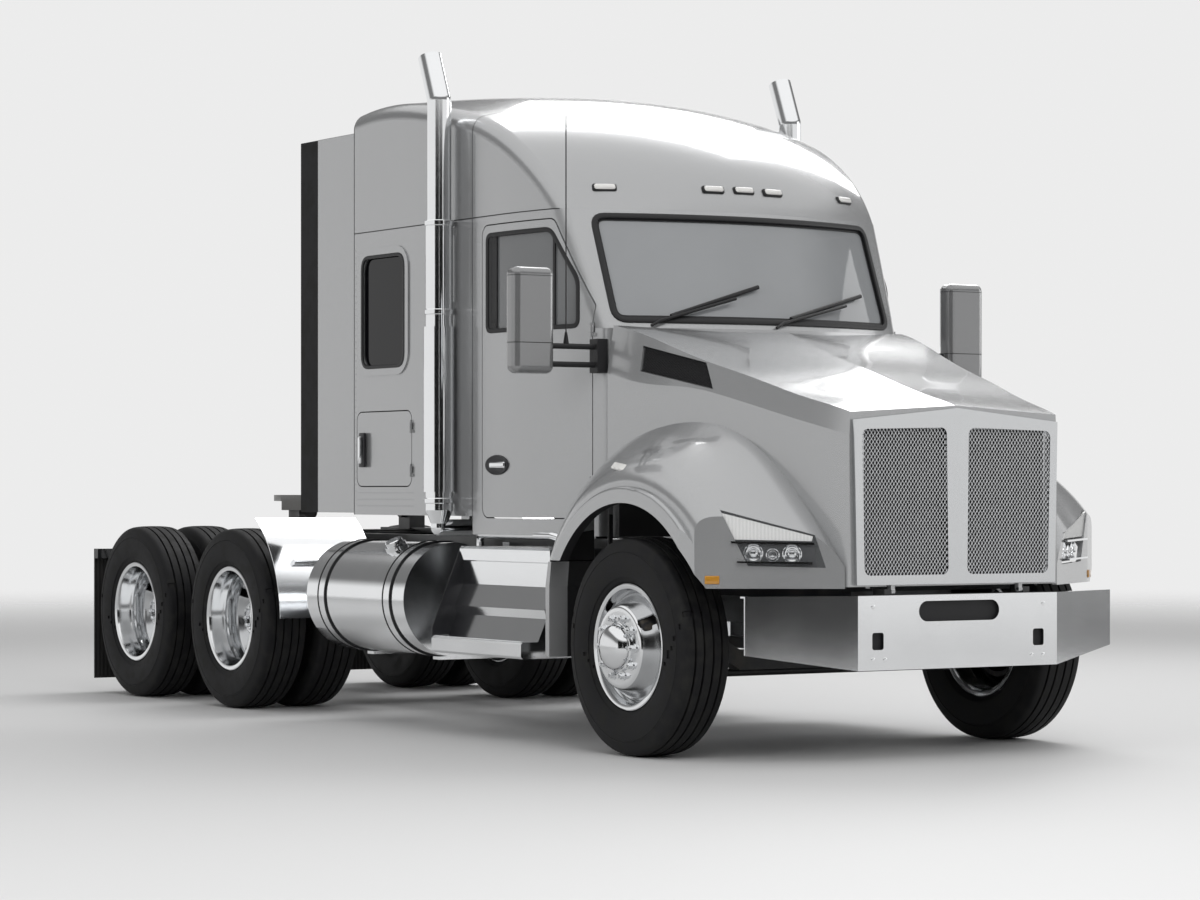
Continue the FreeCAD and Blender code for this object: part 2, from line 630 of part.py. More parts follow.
# Drive axles with their spindles and the shafts between them.

def make_drive_axles():
    z = s.tyre_radius
    face = s.outer_tyre_x - s.disc_flange
    tube_end = face - s.disc_wall - s.drum_length - s.tube_gap
    parts = []
    for row, y in zip(("fore", "aft"), drive_axles_y):
        tube = rod(row + "_tube", "x", s.axle_tube, (-tube_end, y, z), tube_end * 2)
        reach = face + s.drive_hub_out - s.spindle_short
        spindle = rod(row + "_spindle", "x", s.spindle_radius, (-reach, y, z), reach * 2)
        housing = rod(row + "_housing", "y", s.housing_radius, (0, y - s.housing_half, z),
                      s.housing_half * 2)
        parts += [tube, spindle, housing]
    first, second = drive_axles_y
    shaft_z = z + s.shaft_rise
    parts.append(rod("between_shaft", "y", s.shaft_radius, (0, first, z + s.link_rise),
                     second - first))
    parts.append(rod("main_shaft", "y", s.shaft_radius, (0, s.gearbox_rear, shaft_z),
                     first - s.gearbox_rear))
    node("drive_axles", [fuse("drive_axles_all", parts)])


def make_suspension():
    """Leaf packs in front; trailing carriers with air bags behind."""
    z = s.tyre_radius
    low = s.rail_top - s.rail_height
    seat = z + s.beam_depth / 2 - s.beam_drop
    x = (s.spring_x - s.spring_width / 2, s.spring_x + s.spring_width / 2)
    leaf = block("leaf_pack", x, (-s.spring_half, s.spring_half), (seat, seat + s.spring_pack))
    front = block("hanger_front", x, (-s.spring_half, -s.spring_half + s.spring_eye * 2),
                  (seat, low))
    rear = block("hanger_rear", x, (s.spring_half - s.spring_eye * 2, s.spring_half),
                 (seat, low))
    parts = [fuse("front_spring", [leaf, front, rear])]
    for row, y in zip(("fore", "aft"), drive_axles_y):
        top = z - s.axle_tube
        start = y - s.carrier_ahead
        arm = block(row + "_carrier", x, (start, y + s.carrier_behind),
                    (top - s.carrier_depth, top))
        hanger = block(row + "_hanger", x, (start, start + s.carrier_hanger),
                       (top - s.carrier_depth, low))
        bag = rod(row + "_bag", "z", s.bag_radius,
                  (s.spring_x - s.bag_inset, y + s.bag_behind, top), low - top)
        parts.append(fuse(row + "_suspension", [arm, hanger, bag]))
    others = [mirror(part.Name + "_other", part) for part in parts]
    node("suspension", parts + others)


def make_engine():
    half = s.engine_half
    low = s.rail_top - s.rail_height + s.rail_wall
    motor = block("motor", (-half, half), (s.engine_front, s.engine_rear),
                  (s.engine_low, s.engine_top))
    box = block("gearbox", (-s.gearbox_half, s.gearbox_half), (s.engine_rear, s.gearbox_rear),
                (s.gearbox_low, s.gearbox_top))
    foot = block("engine_foot", (half, s.rail_half - s.rail_wall), (s.foot_front, s.foot_rear),
                 (low + s.foot_low, low + s.foot_high))
    whole = fuse("engine", [motor, box, foot, mirror("engine_foot_other", foot)])
    node("engine_block", [whole])
    core = block("core", (-s.core_half, s.core_half),
                 (s.rail_front - s.core_wall, s.rail_front), (s.core_low, s.core_top))
    node("radiator", [core])


# Longer than any piece: the reach of a form that is cut to size afterwards.
FAR = 5000


# Cab: one bowed form, drawn with an inset for the inner face of its walls.

def half_width(y):
    """Half width of the cab side at a distance behind the front axle: it tapers forward."""
    start, run, taper = numbers(s.taper_start, s.taper_run, s.taper)
    ahead = max(0.0, start - y)
    return float(s.cab_half) - taper * (ahead / run) ** 2


def side_block(inset, y0, y1, z0, z1):
    """The space between the two cab sides, each a parabola and then straight."""
    start, nose = numbers(s.taper_start, s.side_start)
    far = y1 + FAR
    edges = []
    for sign in (1, -1):
        narrow, full = sign * (half_width(nose) - inset), sign * (half_width(start) - inset)
        curve = Part.BezierCurve()
        curve.setPoles([Vector(narrow, nose, z0), Vector(full, (nose + start) / 2, z0),
                        Vector(full, start, z0)])
        edges += [curve.toShape(), line((full, start, z0), (full, far, z0))]
    edges += [line((-full, far, z0), (full, far, z0)),
              line((-narrow, nose, z0), (narrow, nose, z0))]
    whole = Part.Face(Part.Wire(Part.__sortEdges__(edges))).extrude(Vector(0, 0, z1 - z0))
    wide = float(s.cab_half) * 2
    keep = Part.makeBox(wide * 2, y1 - y0, z1 - z0, Vector(-wide, y0, z0))
    return whole.common(keep)


def front_corners(shape):
    """The two upright edges where a front meets the sides, straight or raked."""
    wanted = []
    for edge in shape.Edges:
        box = edge.BoundBox
        apart = box.XMin * box.XMax > 0
        if apart and box.ZLength > 100 and box.YMax < float(s.taper_start) - 200:
            wanted.append(edge)
    return wanted


def cab_form(inset, z0, z1, y1):
    """The cab from the cowl back to y1, both faces moved in by the inset."""
    belt, cowl, screen = numbers(s.belt, s.cowl_front, s.screen_front)
    wide = float(s.cab_half) * 1.2
    turn = float(s.corner_round) - inset
    bend = belt - inset
    lower = bowed_front(cowl + inset, float(s.cowl_bow), wide, z0, bend, 0, FAR)
    lower = lower.common(side_block(inset, 0, y1, z0, bend))
    lower = lower.makeFillet(turn, front_corners(lower))
    if z1 <= bend:
        return lower
    upper = bowed_front(screen + inset, float(s.screen_bow), wide, bend, z1,
                        float(s.screen_rake), FAR)
    upper = upper.common(side_block(inset, 0, y1, bend, z1))
    upper = upper.makeFillet(turn, front_corners(upper))
    return lower.fuse(upper).removeSplitter()


def door_points(offset):
    """The door's outline in side view, each edge moved in by the offset."""
    front, rear, low, high, bend, lean = numbers(
        s.door_front, s.door_rear, s.door_low, s.door_high, s.door_bend, s.door_lean)
    return [(front + offset, low + offset), (rear - offset, low + offset),
            (rear - offset, high - offset), (front + lean + offset, high - offset),
            (front + offset, bend - offset / 2)]


def window_points():
    front, rear, low, high, bend, lean = numbers(
        s.window_front, s.window_rear, s.window_low, s.window_high, s.window_bend,
        s.window_lean)
    return [(front, low), (rear, low), (rear, high), (front + lean, high), (front, bend)]


def rectangle(y0, y1, z0, z1, offset=0):
    return [(y0 + offset, z0 + offset), (y1 - offset, z0 + offset),
            (y1 - offset, z1 - offset), (y0 + offset, z1 - offset)]


def make_cab():
    wall, floor, seam, rear = numbers(s.cab_wall, s.cab_floor, s.seam, s.cab_rear)
    inset, glass, gap = numbers(s.glass_inset, s.glass_wall, s.panel_gap)
    outside = cab_form(0, floor, seam, rear)
    inside = cab_form(wall, floor + wall, seam + 1, rear + 1)
    shell = outside.cut(inside)
    wide = float(s.cab_half) + 50
    inner = half_width(float(s.door_front)) - wall - float(s.door_clear)
    turn = float(s.door_round)
    door_hole = rounded(prism_x(door_points(0), inner, wide), turn, (1, 0, 0))
    door_room = rounded(prism_x(door_points(gap), inner, wide), turn - gap, (1, 0, 0))
    window_hole = rounded(prism_x(window_points(), inner, wide), float(s.window_round),
                          (1, 0, 0))
    pane_outer = cab_form(inset, floor, seam - 5, rear)
    pane_inner = cab_form(inset + glass, floor - 1, seam, rear + 1)
    pane = pane_outer.cut(pane_inner)
    door = shell.common(door_room).cut(window_hole)
    door_glass = pane.common(window_hole)
    screen_low, screen_high = numbers(s.screen_low, s.screen_high)
    screen_half = half_width(float(s.screen_plan)) - float(s.pillar)
    screen_hole = Part.makeBox(screen_half * 2, FAR, screen_high - screen_low,
                               Vector(-screen_half, 0, screen_low))
    screen_hole = rounded(screen_hole, float(s.screen_round), (0, 1, 0))
    screen = pane.common(screen_hole)
    hinge_x = half_width(float(s.door_front)) + float(s.hinge_eye) / 2
    hinge_y = float(s.door_front) + gap / 2
    hinge_z = numbers(s.door_low + s.hinge_low, s.door_bend - s.hinge_high)
    pins, eyes = hinge_set(hinge_x, hinge_y, hinge_z)
    room = hinge_room(hinge_x, hinge_y, hinge_z)
    door = door.cut(room).fuse(eyes.cut(inside)).removeSplitter()
    shell = shell.cut(door_hole).cut(reflected(door_hole)).cut(screen_hole)
    pads = mount_pads(floor, numbers(s.mount_front, s.mount_rear))
    shell = shell.cut(room).cut(reflected(room))
    for piece in [pins, reflected(pins)] + pads:
        shell = shell.fuse(piece)
    node("cab_shell", [feature("cab", shell.removeSplitter())])
    node("windshield", [feature("windshield_pane", screen)])
    for side, change in (("left", lambda shape: shape), ("right", reflected)):
        node("door_" + side, [feature("door_" + side + "_panel", change(door))])
        node("door_glass_" + side, [feature("door_" + side + "_pane", change(door_glass))])


def mount_pads(top, places):
    """Pads that carry the floor on both frame rails, each at its distance along them."""
    x, width, depth, low = numbers(s.mount_x, s.mount_width, s.mount_depth, s.rail_top)
    return [Part.makeBox(width, depth, top - low, Vector(sign * x - width / 2, y, low))
            for sign in (-1, 1) for y in places]


def hinge_set(x, y, heights):
    """Pins for the fixed side and eyes for the moving side, at each height."""
    radius, eye, tall, gap = numbers(s.hinge_radius, s.hinge_eye, s.hinge_length, s.hinge_gap)
    pins = []
    eyes = []
    for z in heights:
        post = Part.makeCylinder(radius - gap, tall, Vector(x, y, z - tall / 2))
        foot = Part.makeCylinder(eye, tall / 4, Vector(x, y, z - tall / 2))
        leaf = Part.makeBox(eye * 2, eye * 2, tall / 4, Vector(x - eye * 2, y - eye * 2,
                                                              z - tall / 2))
        pins.append(post.fuse([foot, leaf]))
        ring = Part.makeCylinder(eye, tall / 2, Vector(x, y, z - tall / 5))
        arm = Part.makeBox(eye * 2, eye * 2, tall / 2, Vector(x - eye * 2, y, z - tall / 5))
        hole = Part.makeCylinder(radius, tall, Vector(x, y, z - tall / 2))
        eyes.append(ring.fuse(arm).cut(hole))
    return pins[0].fuse(pins[1:]), eyes[0].fuse(eyes[1:])


def hinge_room(x, y, heights):
    """The space that each hinge sweeps, cut from both panels."""
    eye, tall, gap = numbers(s.hinge_eye, s.hinge_length, s.panel_gap)
    rooms = [Part.makeCylinder(eye + gap, tall, Vector(x, y, z - tall / 2)) for z in heights]
    return rooms[0].fuse(rooms[1:])


# Sleeper: a box behind the cab with windows and luggage doors in its sides.

def make_sleeper():
    wall, low, seam, front, rear = numbers(s.cab_wall, s.sleeper_low, s.seam, s.cab_rear,
                                           s.sleeper_rear)
    inset, glass, gap = numbers(s.glass_inset, s.glass_wall, s.panel_gap)
    wide = float(s.cab_half)
    outside = Part.makeBox(wide * 2, rear - front, seam - low, Vector(-wide, front, low))
    inside = Part.makeBox((wide - wall) * 2, rear - front, seam, Vector(wall - wide,
                          front - wall, low + wall))
    shell = outside.cut(inside)
    window_box = numbers(s.bunk_window_front, s.bunk_window_rear, s.bunk_window_low,
                         s.bunk_window_high)
    edge, proud, turn = numbers(s.surround_width, s.surround_out, s.bunk_round)
    window = prism_x(rectangle(*window_box), wide - wall * 2, wide + wall)
    window = rounded(window, turn, (1, 0, 0))
    surround = prism_x(rectangle(*window_box, -edge), wide - wall / 2, wide + proud)
    surround = rounded(surround, turn + edge, (1, 0, 0))
    shell = shell.fuse([surround, reflected(surround)])
    hatch_box = numbers(s.hatch_front, s.hatch_rear, s.hatch_low, s.hatch_high)
    turn = float(s.hatch_round)
    hole = prism_x(rectangle(*hatch_box), wide - wall * 2, wide + wall)
    hole = rounded(hole, turn, (1, 0, 0))
    hatch = prism_x(rectangle(*hatch_box, gap), wide - wall * 2, wide + wall)
    hatch = shell.common(rounded(hatch, turn - gap, (1, 0, 0)))
    pane = Part.makeBox(glass, rear - front, seam, Vector(wide - inset - glass, front, 0))
    pane = pane.common(window)
    hinge_x = wide + float(s.hinge_eye) / 2
    hinge_y = hatch_box[0] + gap / 2
    hinge_z = (hatch_box[2] + float(s.hatch_hinge), hatch_box[3] - float(s.hatch_hinge))
    pins, eyes = hinge_set(hinge_x, hinge_y, hinge_z)
    room = hinge_room(hinge_x, hinge_y, hinge_z)
    hatch = hatch.cut(room).fuse(eyes).removeSplitter()
    for tool in (window, reflected(window), hole, reflected(hole), room, reflected(room)):
        shell = shell.cut(tool)
    pads = mount_pads(low, [rear - float(s.mount_back)])
    for piece in [pins, reflected(pins)] + pads:
        shell = shell.fuse(piece)
    node("sleeper_shell", [feature("sleeper", shell.removeSplitter())])
    both("sleeper_windows", feature("sleeper_pane", pane))
    node("luggage_door_left", [feature("hatch_left", hatch)])
    node("luggage_door_right", [feature("hatch_right", reflected(hatch))])


# Roof cap: a raised fairing over the cab and sleeper, lofted from three side views.

# Points of the roof's side view: distance behind its front edge, and height.
ROOF_RISE = ((185, 2934), (330, 3048), (680, 3215), (1160, 3330))
# Its last two points, each a distance behind the front axle and a height.
ROOF_REAR = ((2600, 3392), (3094, 3366))


def roof_profile(x, start, lift, inset):
    """Side view of the roof at one X: the fairing rises from the windshield's top edge."""
    seam = float(s.seam)
    low = seam - 1 if inset else seam
    end = ROOF_REAR[-1][0]
    points = [(start + inset, seam)]
    points += [(start + y + inset, z + lift) for y, z in ROOF_RISE]
    points += [(y, z + lift) for y, z in ROOF_REAR]
    top = [(x, y, z - inset if y > start + 100 + inset else z) for y, z in points]
    edges = [spline(top), line(top[-1], (x, end, low)),
             line((x, end, low), (x, start + inset, low))]
    if inset:
        edges.append(line((x, start + inset, low), top[0]))
    return Part.Wire(edges)


def roof_form(inset):
    """The roof between the cab's sides, its long upper edges rounded."""
    wide = float(s.cab_half) + 60
    seam, rear, screen = numbers(s.seam, s.sleeper_rear, s.screen_front)
    rake = float(s.screen_rake) * (seam - float(s.belt))
    middle = screen + rake
    side = middle + float(s.screen_bow) * wide * wide / 1000
    edge, crown = numbers(s.roof_side, s.roof_crown)
    wires = [roof_profile(-wide, side, edge, inset), roof_profile(0, middle, crown, inset),
             roof_profile(wide, side, edge, inset)]
    raised = Part.makeLoft(wires, True, False)
    whole = raised.common(side_block(inset, 0, rear - inset, seam - 2, seam + 900))
    long_edges = [edge for edge in whole.Edges if edge.BoundBox.YLength > 100
                  and edge.BoundBox.ZLength > 100 and edge.BoundBox.XMin * edge.BoundBox.XMax > 0]
    return whole.makeFillet(float(s.corner_round) - inset, long_edges)


def make_roof():
    outside = roof_form(0)
    inside = roof_form(float(s.roof_wall))
    node("roof_cap", [feature("roof", outside.cut(inside).removeSplitter())])


def make_extenders():
    """Panels behind the sleeper's sides with a flexible rear edge."""
    x = (s.cab_half - s.extender_wall, s.cab_half)
    z = (s.extender_low, s.extender_high)
    rear = s.sleeper_rear + s.extender_depth
    panel = block("extender", x, (s.sleeper_rear, rear), z)
    both("side_extenders", panel)
    edge = block("extender_edge", (s.cab_half - s.extender_wall + 6, s.cab_half - 6),
                 (rear, rear + s.edge_depth), z)
    both("extender_edges", edge)


# Hood: a lofted nose with two pontoon fenders, hollow underneath.

SHOULDER = ((-1012, 1640, 1533), (-914, 1668, 1558), (-690, 1723, 1612), (-429, 1800, 1677),
            (-161, 1874, 1742), (114, 1959, 1783), (395, 2052, 1811), (597, 2099, 1858),
            (660, 2108, 1870))


# Half the width over which the hood's rear edge is bowed.
HOOD_WIDE = 1400


def hood_half(y):
    """Half width of the hood at its shoulder."""
    front, rear, start, end = numbers(s.hood_half_front, s.hood_half_rear, s.nose,
                                      s.hood_shoulder_end)
    return front + (rear - front) * (y - start) / (end - start)


def hood_form(inset):
    """The middle of the hood, from the grille to the cowl."""
    crown, low, nose, out, step = numbers(s.hood_crown, s.hood_low, s.nose, s.flank_out,
                                          s.flank_start)
    wires = []
    bottom = low - (100 if inset else 0)
    for y, z, crease in SHOULDER:
        x = hood_half(y) - inset
        flank = x + min(out, step + (y - nose) / 10)
        right = [Vector(flank, y, bottom), Vector(flank, y, crease - inset / 2),
                 Vector(x, y, z - inset)]
        left = [Vector(-corner.x, y, corner.z) for corner in reversed(right)]
        corners = right + [Vector(0, y, z + crown - inset)] + left
        wires.append(Part.makePolygon(corners + corners[:1]))
    body = Part.makeLoft(wires, True, False)
    body = body.common(Part.makeBox(FAR, FAR, FAR, Vector(-FAR / 2, nose + inset, 0)))
    if inset:
        return body
    return body.cut(bowed_front(float(s.hood_rear), float(s.hood_bow), HOOD_WIDE, 0, FAR, 0, FAR))


FENDER_CREST = ((760, 1270), (702, 1377), (490, 1527), (282, 1580), (77, 1592), (-190, 1555),
                (-450, 1440), (-705, 1236), (-860, 1085), (-1010, 930))


# How full the fender's section is beside each point of its crest: a lower power is fuller.
FULLNESS = (0.60, 0.60, 0.60, 0.60, 0.60, 0.56, 0.48, 0.40, 0.36, 0.36)
# Shares of the way from the crest to the lip, closer together where the fender turns down.
SHARES = (0.0, 0.2, 0.4, 0.6, 0.75, 0.88, 0.96, 1.0)


def fender_top(inset):
    """The fender's outer surface, drawn down to a solid."""
    ring, axle, crest_x, lip_x = numbers(s.arch_radius + s.lip_band, s.tyre_radius, s.crest_x,
                                         s.lip_x)
    angles = (22, 38, 54, 70, 86, 102, 118, 134, 150, 164)
    lip = [(ring * math.cos(math.radians(a)), axle + ring * math.sin(math.radians(a)))
           for a in angles]
    rows = []
    for x in (500, 650):
        rows.append([Vector(x, y, z - inset) for y, z in FENDER_CREST])
    for share in SHARES:
        row = []
        for (y0, z0), (y1, z1), power in zip(FENDER_CREST, lip, FULLNESS):
            rest = (1 - share) ** power
            row.append(Vector(crest_x + (lip_x - crest_x) * share, y1 + (y0 - y1) * rest,
                              z1 + (z0 - z1) * rest - inset))
        rows.append(row)
    surface = Part.BSplineSurface()
    surface.interpolate(rows)
    return surface.toShape().extrude(Vector(0, 0, -1500))


# Both ends of the swept face that holds the headlamp, in plan.
LAMP_PLAN = ((735, -925), (1106, -665))
# Inside this distance from the middle the fender ends in front of the cab.
FENDER_STEP = 962


def fender_form(inset):
    """The left pontoon: its top, the band round the arch, and both ends cut to their plan."""
    half, axle, arch, band, low, split, tail, tuck, turn = numbers(
        s.fender_half, s.tyre_radius, s.arch_radius, s.lip_band, s.fender_low, s.fender_split,
        s.fender_tail, s.fender_tuck, s.band_round)
    limit = float(s.lip_x) - inset if inset else half
    nose, rear = numbers(s.nose, s.fender_rear)
    corners = [(500, nose + inset), (float(s.hood_half_front), nose + inset)]
    corners += [(x, y + inset * 1.2) for x, y in LAMP_PLAN]
    corners += [(1198 - inset, -590 + inset), (limit, -500), (limit, tail - inset),
                (FENDER_STEP, tail - tuck - inset), (FENDER_STEP, rear), (500, rear)]
    plan = prism_z(corners, 0, FAR)
    base = prism_x([(-1500, low - (50 if inset else 0)), (0, low - (50 if inset else 0)),
                    (0, split - (50 if inset else 0)), (1500, split - (50 if inset else 0)),
                    (1500, 2500), (-1500, 2500)], 0, 2000)
    limits = plan.common(base)
    whole = fender_top(inset).common(limits)
    if inset:
        return whole
    start = float(s.lip_x) - 100
    ring = Part.makeCylinder(arch + band - turn, half - start, Vector(start, 0, axle),
                             Vector(1, 0, 0))
    rim = [edge for edge in ring.Edges if edge.BoundBox.XMin > half - 1]
    return whole.fuse(ring.makeFillet(turn, rim).common(limits))


# Corners of the opening in the hood's side, each a distance along it and a height.
VENT = ((365, 1988), (-70, 1893), (-140, 1763), (370, 1862))


# Corners of the headlamp on the left fender.
LAMP = ((1106, -666, 1185), (747, -919, 1069), (735, -927, 917), (1049, -706, 925))


def lamp_prism():
    """The headlamp's outline on the swept front face, drawn out to its depth."""
    corners = [Vector(*corner) for corner in LAMP]
    across = (corners[0] - corners[1]).normalize()
    normal = Vector(across.y, -across.x, 0).normalize()
    flat = [corners[1] + across * ((c - corners[1]).dot(across)) + Vector(0, 0, c.z - corners[1].z)
            - Vector(0, 0, across.z * ((c - corners[1]).dot(across))) for c in corners]
    face = Part.Face(Part.makePolygon(flat + flat[:1]))
    depth, out = numbers(s.lamp_depth, s.lamp_out)
    face.translate(normal * out)
    return face.extrude(normal * (-depth - out))


def make_hood():
    wall = float(s.hood_wall)
    arch, axle, half = numbers(s.arch_radius, s.tyre_radius, s.fender_half)
    fender = fender_form(0)
    hollow = fender_form(wall)
    outside = hood_form(0).fuse([fender, reflected(fender)])
    shell = outside.cut(hood_form(wall)).cut(hollow).cut(reflected(hollow))
    well = Part.makeCylinder(arch, half, Vector(float(s.well_inner), 0, axle), Vector(1, 0, 0))
    shell = shell.cut(well).cut(reflected(well))
    grille_half, low, high, nose = numbers(s.grille_half, s.grille_low, s.grille_high, s.nose)
    mouth = Part.makeBox(grille_half * 2, 200, high - low, Vector(-grille_half, nose - 60, low))
    shell = shell.cut(mouth)
    opening = rounded(prism_x(VENT, float(s.hood_half_front), half), float(s.vent_round),
                      (1, 0, 0))
    pocket = opening.common(outside).cut(hood_form(float(s.vent_depth)))
    shell = shell.cut(pocket).cut(reflected(pocket))
    lamp = lamp_prism()
    solid_lamp = lamp.common(outside)
    shell = shell.cut(lamp).cut(reflected(lamp))
    x, y, z, radius, eye, thick = numbers(s.pivot_x, s.pivot_y, s.pivot_z, s.pivot_radius,
                                          s.pivot_eye, s.pivot_plate)
    ear = Part.makeCylinder(eye, thick, Vector(x - thick / 2, y, z), Vector(1, 0, 0))
    stem = Part.makeBox(thick, eye * 2, float(s.hood_low) - z + 6, Vector(x - thick / 2,
                                                                         y - eye + 4, z))
    hole = Part.makeCylinder(radius + 0.1, thick * 2, Vector(x - thick, y, z), Vector(1, 0, 0))
    hinge = ear.fuse(stem).cut(hole)
    shell = shell.fuse([hinge, reflected(hinge)]).removeSplitter()
    node("hood_shell", [feature("hood", shell)])
    both("headlamps", feature("headlamp", solid_lamp))


def make_grille():
    """A proud frame with two openings, and the panel that fills the hood's mouth behind it."""
    half, low, high, wall, out, nose = numbers(s.grille_half, s.grille_low, s.grille_high,
                                               s.grille_wall, s.grille_out, s.nose)
    top, foot, z0, corner, peak, edge, bar, turn = numbers(
        s.grille_top_half, s.grille_foot_half, s.grille_foot, s.grille_corner, s.grille_peak,
        s.grille_edge, s.grille_bar, s.grille_round)
    frame = prism_y([(-foot, z0), (foot, z0), (top, corner), (0, peak), (-top, corner)],
                    nose - out, nose)
    inner = prism_y([(bar, z0 + edge), (foot - edge, z0 + edge), (top - edge, corner - edge),
                     (bar + 10, corner - edge + 12)], nose - out - 1, nose + 1)
    inner = rounded(inner, turn, (0, 1, 0))
    frame = frame.cut(inner).cut(reflected(inner))
    lip = Part.makeBox(half * 2, wall, high - low, Vector(-half, nose, low))
    hollow = Part.makeBox((half - edge / 2) * 2, wall, high - low - edge,
                          Vector(edge / 2 - half, nose, low + edge / 2))
    panel = Part.makeBox(half * 2, wall / 3, high - low, Vector(-half, nose + wall / 3 * 2, low))
    whole = frame.fuse([lip.cut(hollow), panel])
    node("grille", [feature("grille_all", whole.removeSplitter())])


# Bumper: a flat middle and two swept ends with a flange along the top.

def make_bumper():
    half, end, sweep, low, high, end_low, wall, flange = numbers(
        s.bumper_half, s.bumper_end, s.bumper_sweep, s.bumper_low, s.bumper_high,
        s.bumper_end_low, s.bumper_wall, s.bumper_flange)
    front = -float(s.front_overhang)
    line_out = [(-end, front + sweep), (-half, front), (half, front), (end, front + sweep)]
    tilt = sweep / (end - half)
    line_in = [(end, front + sweep + wall * math.hypot(1, tilt)), (half, front + wall),
               (-half, front + wall), (-end, front + sweep + wall * math.hypot(1, tilt))]
    sheet_face = prism_z(line_out + line_in, low, high)
    deep = [(x, y + flange) for x, y in line_in]
    top = prism_z(line_out + deep, high - wall, high)
    view = prism_y([(-end, end_low), (-half, low), (half, low), (end, end_low), (end, high),
                    (-end, high)], front - 10, front + 600)
    shell = sheet_face.fuse(top).common(view)
    slot_half, slot_low, slot_high, tow_x, tow_z, tow, rise = numbers(
        s.slot_half, s.slot_low, s.slot_high, s.tow_x, s.tow_z, s.tow_half, s.tow_rise)
    round_end = (slot_high - slot_low) / 2
    slot = Part.makeBox((slot_half - round_end) * 2, 40, slot_high - slot_low,
                        Vector(round_end - slot_half, front - 5, slot_low))
    for sign in (-1, 1):
        place_x = sign * (slot_half - round_end)
        slot = slot.fuse(Part.makeCylinder(round_end, 40, Vector(place_x, front - 5,
                         slot_low + round_end), Vector(0, 1, 0)))
        hole = Part.makeBox(tow * 2, 40, rise * 2, Vector(sign * tow_x - tow, front - 5,
                                                          tow_z - rise))
        shell = shell.cut(rounded(hole, float(s.tow_round), (0, 1, 0)))
    shell = shell.cut(slot)
    left, right, horn, foot, y1, y0 = numbers(
        s.pivot_x + s.pivot_plate / 2 + s.horn_gap, s.rail_half, s.horn_low + s.bracket_low,
        s.horn_low + s.bracket_high,
        s.horn_front, -s.front_overhang + s.bumper_wall)
    for sign in (-1, 1):
        x = left if sign > 0 else -right
        bracket = Part.makeBox(right - left, y1 - y0, foot - horn, Vector(x, y0, horn))
        shell = shell.fuse(bracket)
    node("front_bumper", [feature("bumper", shell.removeSplitter())])


# Side equipment: step boxes, fender tails, tanks, stacks, quarter fenders, flaps, mirrors.

def make_steps():
    bevel, edge = s.step_bevel, s.tread_bevel
    tread = s.step_low + s.tread_wall * 2
    box = plate("step_box", "XZ_Plane", [
        (s.box_inner, s.step_low), (s.step_half - bevel, s.step_low),
        (s.step_half, s.step_low + bevel), (s.step_half, tread - edge),
        (s.step_half - edge, tread), (s.tread_in, tread),
        (s.ledge_out - bevel, s.ledge_low), (s.ledge_out, s.ledge_high),
        (s.riser_out, s.riser_low), (s.riser_out, s.step_top - s.tread_edge),
        (s.step_edge, s.step_top - s.tread_edge + bevel / 2), (s.step_edge, s.step_top - edge),
        (s.step_edge - edge, s.step_top), (s.box_inner, s.step_top),
    ], -s.step_rear, -s.step_front)
    arm = block("step_arm", (s.rail_half, s.box_inner),
                (s.step_front + s.step_arm_in, s.step_rear - s.step_arm_in),
                (s.step_top - s.step_arm_low, s.step_top - s.step_arm_high))
    both("steps", fuse("step_side", [box, arm]))
    tail_x = (s.box_inner + s.tail_in, s.fender_half - s.tail_out)
    tail = plate("fender_tail", "YZ_Plane", [
        (690, s.step_low + 20), (726, s.step_low + 30), (726, 800),
        (700, s.fender_split - s.swing_gap), (672, s.fender_split - s.swing_gap), (690, 800),
    ], tail_x[0], tail_x[1])
    post = block("tail_post", (tail_x[0], tail_x[0] + 60), (700, s.step_front),
                 (s.step_low + 60, s.step_low + 160))
    both("fender_tails", fuse("fender_tail_side", [tail, post]))


def make_tanks():
    shell = rod("tank", "y", s.tank_radius, (s.tank_x, tank_front, s.tank_z),
                tank_rear - tank_front)
    parts = [shell]
    low = s.tank_z - s.tank_radius
    for index, y in enumerate((tank_front + s.strap_in, tank_rear - s.strap_in - s.strap_width)):
        strap = rod("strap_%d" % index, "y", s.tank_radius + s.strap_wall,
                    (s.tank_x, y, s.tank_z), s.strap_width)
        arm = block("tank_arm_%d" % index, (s.rail_half, s.tank_x), (y, y + s.strap_width),
                    (low - s.tank_arm_drop, low + s.tank_arm_rise))
        post = block("tank_post_%d" % index, (s.rail_half, s.rail_half + s.tank_post),
                     (y, y + s.strap_width), (low - s.tank_arm_drop, s.rail_top - s.tank_post_drop))
        parts += [strap, arm, post]
    both("fuel_tanks", fuse("tank_side", parts))


# Heights of the stays that hold each stack to the cab, and the lean of its tip.
STAYS = (1220, 2230, 2620)
STACK_LEAN = 0.42


